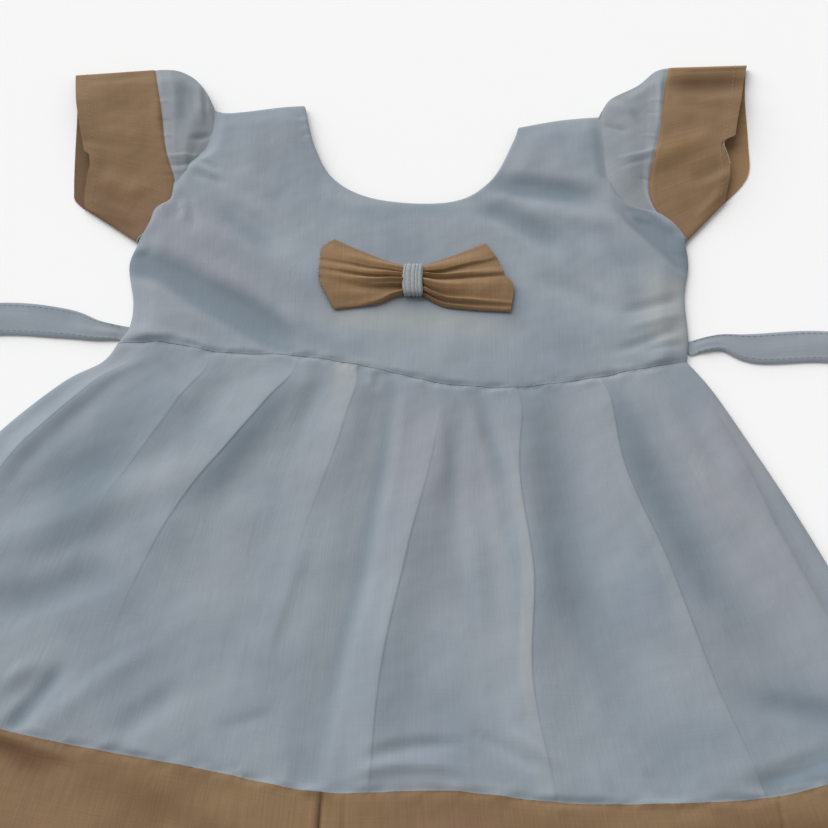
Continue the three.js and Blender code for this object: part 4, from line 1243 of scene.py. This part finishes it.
def srgb(text):
    """A hex colour turned to linear light."""
    channels = [int(text[k:k + 2], 16) / 255 for k in (0, 2, 4)]
    return tuple(c / 12.92 if c <= 0.04045 else ((c + 0.055) / 1.055) ** 2.4 for c in channels)


def opaque(text):
    return srgb(text) + (1.0,)


def add(tree, kind, settings=None, links=None):
    """Adds a node, with its settings and what feeds its inputs."""
    node = tree.nodes.new(kind)
    for name, value in (settings or {}).items():
        if isinstance(name, int) or name in node.inputs:
            node.inputs[name].default_value = value
        else:
            setattr(node, name, value)
    for name, source in (links or {}).items():
        tree.links.new(source, node.inputs[name])
    return node


def blend_colours(tree, share, first, second):
    """Mixes two colours, each a hex value or a socket."""
    node = add(tree, "ShaderNodeMix", {"data_type": "RGBA"}, {0: share})
    for place, colour in ((6, first), (7, second)):
        if isinstance(colour, str):
            node.inputs[place].default_value = opaque(colour)
        else:
            tree.links.new(colour, node.inputs[place])
    return node.outputs[2]


def ramp(tree, source, low, high):
    """Stretches a value between two levels to run from 0 to 1."""
    settings = {"From Min": low, "From Max": high, "interpolation_type": "SMOOTHSTEP"}
    return add(tree, "ShaderNodeMapRange", settings, {"Value": source}).outputs[0]


def noise(tree, place, scale, detail, **more):
    settings = {"Scale": scale, "Detail": detail} | more
    return add(tree, "ShaderNodeTexNoise", settings, {"Vector": place}).outputs["Fac"]


def empty_material(name):
    """A material with no nodes, its tree, and a socket with the object's own coordinates."""
    material = bpy.data.materials.new(name)
    material.use_nodes = True
    tree = material.node_tree
    tree.nodes.clear()
    return material, tree, add(tree, "ShaderNodeTexCoord").outputs["Object"]


def woven(name, tones, weave):
    """A plain-woven cloth, whose threads run along its own UV map, in metres."""
    material, tree, solid = empty_material(name)
    place = add(tree, "ShaderNodeUVMap", {"uv_map": "Cloth"}).outputs[0]

    def streaks(across, along):
        scaled = add(tree, "ShaderNodeMapping", {"Scale": (across, along, 1)}, {"Vector": place}).outputs[0]
        return noise(tree, scaled, 1.0, 2.0, Roughness=0.6)

    per_metre = 1 / (weave.thread * MM)
    warp = streaks(per_metre, per_metre * STREAK)
    weft = streaks(per_metre * STREAK, per_metre)
    tone = blend_colours(tree, ramp(tree, noise(tree, solid, 22.0, 3.0), 0.35, 0.68), tones.light, tones.dark)
    tone = blend_colours(tree, ramp(tree, noise(tree, solid, 9.0, 2.0), 0.45, 0.75), tone, tones.warm)
    # The tint lightens towards the doubled colour for doubled cloth and painted highlight, and darkens
    # towards the single colour for single cloth and painted shade.
    doubled = add(tree, "ShaderNodeAttribute", {"attribute_name": "doubled"}).outputs["Fac"]
    tone = blend_colours(tree, ramp(tree, doubled, 0, 1), tone, tones.doubled)
    single = add(tree, "ShaderNodeMath", {"operation": "MULTIPLY", 1: -1.0}, {0: doubled}).outputs[0]
    tone = blend_colours(tree, ramp(tree, single, 0, 1), tone, tones.single)
    both = add(tree, "ShaderNodeMath", {"operation": "MULTIPLY_ADD", 1: 0.5}, {0: weft, 2: warp}).outputs[0]
    grain = ramp(tree, both, 0.75 - weave.slub, 0.75 + weave.slub)
    shade = add(tree, "ShaderNodeHueSaturation", {"Value": tones.shade}, {"Color": tone}).outputs[0]
    tone = blend_colours(tree, grain, shade, tone)
    rumple = add(tree, "ShaderNodeMapping", {"Scale": (85, 40, 85)}, {"Vector": solid}).outputs[0]
    rumple = noise(tree, rumple, 1.0, 3.0, Distortion=0.6)
    worn = add(tree, "ShaderNodeBump", {"Strength": 0.35, "Distance": 0.0012}, {"Height": rumple})
    threads = add(
        tree, "ShaderNodeBump", {"Strength": weave.bump, "Distance": weave.thread * MM * 0.5},
        {"Height": both, "Normal": worn.outputs[0]},
    )
    settings = {"Roughness": weave.roughness, "Sheen Weight": weave.sheen}
    shader = add(
        tree, "ShaderNodeBsdfPrincipled", settings | {"Sheen Roughness": 0.45, "Specular IOR Level": 0.25},
        {"Base Color": tone, "Normal": threads.outputs[0]},
    )
    add(tree, "ShaderNodeOutputMaterial", links={"Surface": shader.outputs[0]})
    return material


def spun(name, colour, roughness):
    """Spun cotton thread: matt, with a fine twist that breaks up the light."""
    material, tree, solid = empty_material(name)
    twist = noise(tree, solid, 1400.0, 2.0)
    darker = add(tree, "ShaderNodeHueSaturation", {"Value": 0.8, "Color": opaque(colour)}).outputs[0]
    tone = blend_colours(tree, ramp(tree, twist, 0.35, 0.65), darker, colour)
    fibres = add(tree, "ShaderNodeBump", {"Strength": 0.3, "Distance": 0.0002}, {"Height": twist})
    shader = add(
        tree, "ShaderNodeBsdfPrincipled", {"Roughness": roughness, "Sheen Weight": 0.2},
        {"Base Color": tone, "Normal": fibres.outputs[0]},
    )
    add(tree, "ShaderNodeOutputMaterial", links={"Surface": shader.outputs[0]})
    return material


# A weave's threads are drawn about four times as coarse as the real ones, which are too fine to show
# in the render. Slub is how soft its grain is. Tones are hex colours, and shade darkens the grain.
# The tones for doubled and single cloth also carry the painted highlight and painted shade of each point's
# tint.
Weave = namedtuple("Weave", "thread roughness sheen slub bump")
Tones = namedtuple("Tones", "light dark warm doubled single shade")
STITCH_THREAD = 0.00028  # metres
LOOSE_THREAD = 0.0002
STREAK = 0.03  # a thread's unevenness along it, as a share of that across it
LAWN = Weave(0.9, 0.88, 0.1, 0.35, 0.2)
CAMBRIC = Weave(0.9, 0.8, 0.12, 0.3, 0.3)
CLOTHS = {
    # a sheer plain weave that reads cool in shade and lighter where it lies doubled; its lighter and darker
    # tint colours also show painted highlight and painted shade
    "white cotton lawn": (Tones("939CA4", "88929C", "9598A0", "9FA4A6", "7A8690", 0.94), LAWN),
    # the same in the sleeve caps, where its gathers over the armhole's turning look greyer
    "white gathered lawn": (Tones("949A9F", "899096", "98989E", "9FA2A4", "7D848A", 0.94), LAWN),
    # a closer weave, dyed tan, with slubs and a faint sheen
    "tan cotton cambric": (Tones("8A7052", "7E6447", "856851", "9C7B57", "5F452D", 0.87), CAMBRIC),
}
THREADS = {
    "white spun thread": ("969B9D", 0.75),
    "tan spun thread": ("97805F", 0.8),
    "pale loose thread": ("A8958A", 0.8),
}


def cloth(name):
    """A cloth's material by its name, made once."""
    return bpy.data.materials.get(name) or woven(name, *CLOTHS[name])


def thread(name):
    return bpy.data.materials.get(name) or spun(name, *THREADS[name])


# Sewing

def node_tree(name, inputs):
    """A geometry node tree with inputs by name, and the sockets that they feed."""
    tree = bpy.data.node_groups.new(name, "GeometryNodeTree")
    tree.interface.new_socket("Geometry", in_out="INPUT", socket_type="NodeSocketGeometry")
    for label, kind in inputs.items():
        tree.interface.new_socket(label, in_out="INPUT", socket_type=f"NodeSocket{kind}")
    tree.interface.new_socket("Geometry", in_out="OUTPUT", socket_type="NodeSocketGeometry")
    source = tree.nodes.new("NodeGroupInput")
    return tree, source.outputs


def finish_tree(tree, source, shape):
    """Makes the instances real, gives them their thread and ends the tree."""
    whole = add(tree, "GeometryNodeRealizeInstances", links={0: shape}).outputs[0]
    links = {"Geometry": whole, "Material": source["Thread"]}
    coloured = add(tree, "GeometryNodeSetMaterial", links=links).outputs[0]
    add(tree, "NodeGroupOutput", links={0: coloured})
    return tree


def points_along(tree, source):
    """Points a spacing apart along a path, and the direction of the path at each."""
    curve = add(tree, "GeometryNodeMeshToCurve", links={"Mesh": source["Geometry"]}).outputs[0]
    links = {"Curve": curve, "Length": source["Spacing"]}
    even = add(tree, "GeometryNodeResampleCurve", {"mode": "LENGTH"}, links)
    return even.outputs[0], add(tree, "GeometryNodeInputTangent").outputs[0]


def sized(tree, source, shape):
    """A shape one metre across, brought to the length and thickness of a thread."""
    thick = source["Thickness"]
    size = add(tree, "ShaderNodeCombineXYZ", links={"X": source["Length"], "Y": thick, "Z": thick})
    return add(tree, "GeometryNodeTransform", links={"Geometry": shape, "Scale": size.outputs[0]}).outputs[0]


STRAND_INPUTS = {"Spacing": "Float", "Length": "Float", "Thickness": "Float", "Thread": "Material"}


def stitch_tree():
    """A row of stitches: short rounded threads that lie along a path."""
    tree, source = node_tree("row of stitches", STRAND_INPUTS)
    curve, way = points_along(tree, source)
    turn = add(tree, "FunctionNodeAlignRotationToVector", {"axis": "X"}, {"Vector": way}).outputs[0]
    bead = add(tree, "GeometryNodeMeshUVSphere", {"Segments": 8, "Rings": 5, "Radius": 0.5}).outputs[0]
    links = {"Points": curve, "Instance": sized(tree, source, bead), "Rotation": turn}
    row = add(tree, "GeometryNodeInstanceOnPoints", links=links)
    return finish_tree(tree, source, row.outputs[0])


def fray_tree():
    """Loose ends of thread that stand out from a raw edge, each with its own lean and length."""
    tree, source = node_tree("frayed edge", STRAND_INPUTS | {"Seed": "Int"})
    curve, way = points_along(tree, source)
    settings = {"axis": "Y", "pivot_axis": "AUTO"}
    turn = add(tree, "FunctionNodeAlignRotationToVector", settings, {"Vector": way}).outputs[0]
    lean = add(tree, "FunctionNodeRandomValue", {"data_type": "FLOAT_VECTOR"}, {"Seed": source["Seed"]})
    lean.inputs[0].default_value = (-0.2, -0.35, -0.7)
    lean.inputs[1].default_value = (0.2, 0.15, 0.7)
    lean = add(tree, "FunctionNodeEulerToRotation", links={0: lean.outputs[0]}).outputs[0]
    turn = add(tree, "FunctionNodeRotateRotation", {"rotation_space": "LOCAL"}, {0: turn, 1: lean}).outputs[0]
    reach = add(tree, "FunctionNodeRandomValue", {"data_type": "FLOAT"}, {"Seed": source["Seed"]})
    reach.inputs[2].default_value = 0.3
    reach.inputs[3].default_value = 1.2
    settings = {"Vertices": 5, "Radius Top": 0.4, "Radius Bottom": 1.0, "Depth": 1.0}
    bar = add(tree, "GeometryNodeMeshCone", settings).outputs[0]
    bar = add(tree, "GeometryNodeTransform", {"Rotation": (0, math.pi / 2, 0)}, {"Geometry": bar}).outputs[0]
    strand = sized(tree, source, bar)
    links = {"Points": curve, "Instance": strand, "Rotation": turn, "Scale": reach.outputs[1]}
    row = add(tree, "GeometryNodeInstanceOnPoints", links=links)
    return finish_tree(tree, source, row.outputs[0])


def thread_tree():
    """One thread that follows a path."""
    tree, source = node_tree("laid thread", {"Thickness": "Float", "Thread": "Material"})
    curve = add(tree, "GeometryNodeMeshToCurve", links={"Mesh": source["Geometry"]}).outputs[0]
    links = {"Radius": source["Thickness"]}
    ring = add(tree, "GeometryNodeCurvePrimitiveCircle", {"Resolution": 6}, links).outputs[0]
    links = {"Curve": curve, "Profile Curve": ring}
    tube = add(tree, "GeometryNodeCurveToMesh", {"Fill Caps": True}, links).outputs[0]
    return finish_tree(tree, source, tube)


def along_paths(name, paths, make_tree, values):
    """A mesh that a node tree makes along paths of points in millimetres."""
    points, edges = [], []
    for path in paths:
        first = len(points)
        points += [tuple(np.array(point) * MM) for point in path]
        edges += [(first + k, first + k + 1) for k in range(len(path) - 1)]
    mesh = bpy.data.meshes.new(name + " path")
    mesh.from_pydata(points, edges, [])
    guide = bpy.data.objects.new(name + " path", mesh)
    bpy.context.scene.collection.objects.link(guide)
    tree = make_tree()
    modifier = guide.modifiers.new(name, "NODES")
    modifier.node_group = tree
    for item in tree.interface.items_tree:
        if item.in_out == "INPUT" and item.name in values:
            modifier[item.identifier] = values[item.name]
    guide.update_tag()
    shown = guide.evaluated_get(bpy.context.evaluated_depsgraph_get())
    made_mesh = bpy.data.meshes.new_from_object(shown)
    made_mesh.name = name
    guide.modifiers.remove(modifier)
    bpy.data.objects.remove(guide)
    made_mesh.shade_smooth()
    if not made_mesh.polygons:
        raise RuntimeError(f"{name} came out empty")
    return add_object(name, made_mesh)


def raised(path, height):
    return np.array(path) + (0, 0, height)


def grid_of(name):
    """The face of a cloth that an earlier step has made."""
    if name not in GRIDS:
        raise RuntimeError(f"{name} has to be made before it is sewn")
    return GRIDS[name]


def row_near(grid, share):
    """Index of a grid's row at a share of its count."""
    return int(round((len(grid) - 1) * share))


def sew(name, paths, make_tree, values, material):
    """Makes sewing along paths, of one thread."""
    settle(along_paths(name, paths, make_tree, values | {"Thread": material}), material)


# Stage

CAMERA_TARGET = (6.0, -22.4, 0.0)
CAMERA_DISTANCE = 621.0
CAMERA_TILT = 60.4  # degrees above the table
CAMERA_LENS = 60.0
TABLE_HALF = 30.0  # metres, so that its edge is out of sight
TABLE_DROP = 0.0002  # metres that it lies under the cloth


class DressStage(bpy.types.Operator):
    """Lay the pale table, light it softly from the neck side and set up the camera."""

    bl_idname = "dress.stage"
    bl_label = "Table, light and camera"

    def execute(self, context):
        look = context.scene.dress_look
        scene = context.scene
        mesh = bpy.data.meshes.new("table")
        signs = [(-1, -1), (1, -1), (1, 1), (-1, 1)]
        corners = [(x * TABLE_HALF, y * TABLE_HALF, -TABLE_DROP) for x, y in signs]
        mesh.from_pydata(corners, [], [(0, 1, 2, 3)])
        table = add_object("table", mesh)
        paper = bpy.data.materials.new("white paper")
        paper.use_nodes = True
        shader = paper.node_tree.nodes["Principled BSDF"]
        shader.inputs["Base Color"].default_value = tuple(look.table_colour) + (1.0,)
        shader.inputs["Roughness"].default_value = 0.95
        mesh.materials.append(paper)

        world = scene.world or bpy.data.worlds.new("studio")
        scene.world = world
        world.use_nodes = True
        sky = world.node_tree.nodes["Background"]
        sky.inputs[0].default_value = (1.0, 1.0, 1.0, 1.0)
        sky.inputs[1].default_value = look.fill_light
        lamp = bpy.data.lights.new("window", "SUN")
        lamp.energy = look.key_light
        lamp.angle = look.key_softness
        window = bpy.data.objects.new("window", lamp)
        window.rotation_euler = (-look.key_lean, 0, look.key_side)
        scene.collection.objects.link(window)

        lens = bpy.data.cameras.new("camera")
        lens.lens = CAMERA_LENS
        lens.sensor_width = 36
        lens.clip_start = 0.01
        camera = bpy.data.objects.new("camera", lens)
        tilt = math.radians(CAMERA_TILT)
        camera.location = (
            CAMERA_TARGET[0] * MM,
            (CAMERA_TARGET[1] - CAMERA_DISTANCE * math.cos(tilt)) * MM,
            CAMERA_DISTANCE * math.sin(tilt) * MM,
        )
        camera.rotation_euler = (math.pi / 2 - tilt, 0, 0)
        scene.collection.objects.link(camera)
        scene.camera = camera
        scene.view_settings.view_transform = "Standard"
        return {"FINISHED"}


class DressSkirt(bpy.types.Operator):
    """Make the pleated skirt and its hem band, front and back."""

    bl_idname = "dress.skirt"
    bl_label = "Skirt and hem band"

    def execute(self, context):
        front = settle(skirt_front(), cloth("white cotton lawn"), "skirt_front")
        back = settle(skirt_back(), cloth("white cotton lawn"), "skirt_back")
        band = settle(band_front(), cloth("tan cotton cambric"), "hem_band_front")
        band = settle(band_back(), cloth("tan cotton cambric"), "hem_band_back")
        return {"FINISHED"}


class DressBodice(bpy.types.Operator):
    """Make the front of the bodice and the two halves of its back."""

    bl_idname = "dress.bodice"
    bl_label = "Bodice"

    def execute(self, context):
        front = settle(bodice_front(), cloth("white cotton lawn"), "bodice_front")
        upper = [ARMHOLE_RIGHT, SHOULDER_RIGHT, NECKLINE, SHOULDER_LEFT, ARMHOLE_LEFT, SIDE_LEFT]
        area = plan_area(waist, side_right, *(Line(rows[::-1]) for rows in upper))
        for side, turn in (("left", -1), ("right", 1)):
            piece = bodice_back(f"bodice_back_{side}_cloth", side, CENTRE_BACK + turn * SLIT_GAP / 2)
            settle(piece, cloth("white cotton lawn"), f"bodice_back_{side}")
        return {"FINISHED"}


class DressSleeves(bpy.types.Operator):
    """Make each sleeve's gathered cap and its band."""

    bl_idname = "dress.sleeves"
    bl_label = "Sleeves"

    def execute(self, context):
        for name, side in SLEEVES.items():
            cap = sleeve_cap(f"sleeve_{name}_cloth", side)
            settle(cap, cloth("white gathered lawn"), f"sleeve_{name}")
            band = sleeve_band(f"sleeve_band_{name}_cloth", side)
            settle(band, cloth("tan cotton cambric"), f"sleeve_band_{name}")
        return {"FINISHED"}


class DressBow(bpy.types.Operator):
    """Make the bow's two pleated wings and the thread wound round its middle."""

    bl_idname = "dress.bow"
    bl_label = "Bow"

    def execute(self, context):
        for side in ("left", "right"):
            wing = bow_wing(f"bow_{side}_cloth", side)
            settle(wing, cloth("tan cotton cambric"), f"bow_{side}")
        settle(bow_knot(), thread("white spun thread"), "bow_knot")
        return {"FINISHED"}


class DressTies(bpy.types.Operator):
    """Make the two waist ties."""

    bl_idname = "dress.ties"
    bl_label = "Waist ties"

    def execute(self, context):
        for name, rows, twist in (("left", TIE_LEFT, 1), ("right", TIE_RIGHT, -1)):
            piece, length = tie(f"tie_{name}_cloth", rows, twist)
            settle(piece, cloth("white cotton lawn"), f"tie_{name}")
        return {"FINISHED"}


class DressSewing(bpy.types.Operator):
    """Sew the cuffs, the hem and the ties, and fray the raw edges."""

    bl_idname = "dress.sewing"
    bl_label = "Stitches and frayed edges"

    def execute(self, context):
        look = context.scene.dress_look
        white, tan, pale = (thread(name) for name in THREADS)
        stitch = {"Spacing": look.stitch_spacing, "Length": look.stitch_length, "Thickness": STITCH_THREAD}
        seams = []
        for name, share in (("sleeve_band_left", 0.82), ("sleeve_band_right", 0.82), ("hem_band_front", 0.8)):
            grid = grid_of(f"{name}_cloth")
            shown = slice(3, -3) if name == "hem_band_front" else slice(3, grid.shape[1] // 2 - 2)
            seams.append(raised(grid[row_near(grid, share), shown], 0.02))
        sew("tan_stitches", seams, stitch_tree, stitch, tan)
        seams = []
        for side in ("left", "right"):
            grid = grid_of(f"tie_{side}_cloth")
            seams += [raised(grid[4:-4, column], 0.05) for column in (2, TIE_COLUMNS - 3)]
        sew("white_stitches", seams, stitch_tree, stitch, white)

        tips = [raised(grid_of(f"bow_{side}_cloth")[-1, 2:-2], -0.4) for side in ("left", "right")]
        fray = {"Spacing": 0.0005, "Length": 0.0019, "Thickness": 0.00011, "Seed": look.seed}
        sew("bow_frayed_ends", tips, fray_tree, fray, tan)
        grid = grid_of("sleeve_band_right_cloth")
        down = grid.shape[1] // 2
        notch = grid[-1, int(down * 0.57):int(down * 0.76)]
        fray = {"Spacing": 0.0006, "Length": 0.0014, "Thickness": 0.00006, "Seed": look.seed + 1}
        sew("cuff_frayed_edge", [raised(notch, -0.2)], fray_tree, fray, pale)
        loose = [raised(notch[4:], 0.12)]
        sew("cuff_loose_thread", loose, thread_tree, {"Thickness": LOOSE_THREAD}, pale)
        return {"FINISHED"}


class DressLook(bpy.types.PropertyGroup):
    """Light and colour of the stage, and the sewing's stitches."""

    table_colour: bpy.props.FloatVectorProperty(
        name="Table", description="Colour of the table that the dress lies on",
        default=srgb("F9F9F9"), size=3, min=0, max=1, subtype="COLOR",
    )
    stitch_spacing: bpy.props.FloatProperty(
        name="Stitch spacing", description="From one stitch to the next",
        default=0.0028, min=0.001, unit="LENGTH",
    )
    stitch_length: bpy.props.FloatProperty(
        name="Stitch length", description="Length of the thread that shows",
        default=0.002, min=0.0005, unit="LENGTH",
    )
    seed: bpy.props.IntProperty(
        name="Seed", description="Changes how the raw edges fray", default=7, min=0,
    )
    key_light: bpy.props.FloatProperty(
        name="Key light", description="Strength of the window light", default=3.3, min=0,
    )
    key_lean: bpy.props.FloatProperty(
        name="Lean", description="How far the light leans from overhead to the neck side",
        default=math.radians(57), subtype="ANGLE",
    )
    key_side: bpy.props.FloatProperty(
        name="Side", description="How far the light turns to the left of the neck",
        default=math.radians(36), subtype="ANGLE",
    )
    key_softness: bpy.props.FloatProperty(
        name="Softness", description="Angle that the window fills", default=1.35, subtype="ANGLE",
    )
    fill_light: bpy.props.FloatProperty(
        name="Fill light", description="Strength of the light from all round", default=0.4, min=0,
    )


class DressPanel(bpy.types.Panel):
    """Lists the pieces of the dress in the 3D view's sidebar."""

    bl_idname = "VIEW3D_PT_dress"
    bl_label = "Baby dress"
    bl_space_type = "VIEW_3D"
    bl_region_type = "UI"
    bl_category = "Dress"

    def draw(self, context):
        for name in DressLook.__annotations__:
            self.layout.prop(context.scene.dress_look, name)
        for step in STEPS:
            self.layout.operator(step.bl_idname)


STEPS = [DressStage, DressSkirt, DressBodice, DressSleeves, DressBow, DressTies, DressSewing]
CLASSES = [DressLook, *STEPS, DressPanel]


def register():
    for part in CLASSES:
        bpy.utils.register_class(part)
    bpy.types.Scene.dress_look = bpy.props.PointerProperty(type=DressLook)


def unregister():
    del bpy.types.Scene.dress_look
    for part in reversed(CLASSES):
        bpy.utils.unregister_class(part)


def main():
    register()
    for step in STEPS:
        group, name = step.bl_idname.split(".")
        getattr(getattr(bpy.ops, group), name)()


if __name__ == "__main__":
    main()
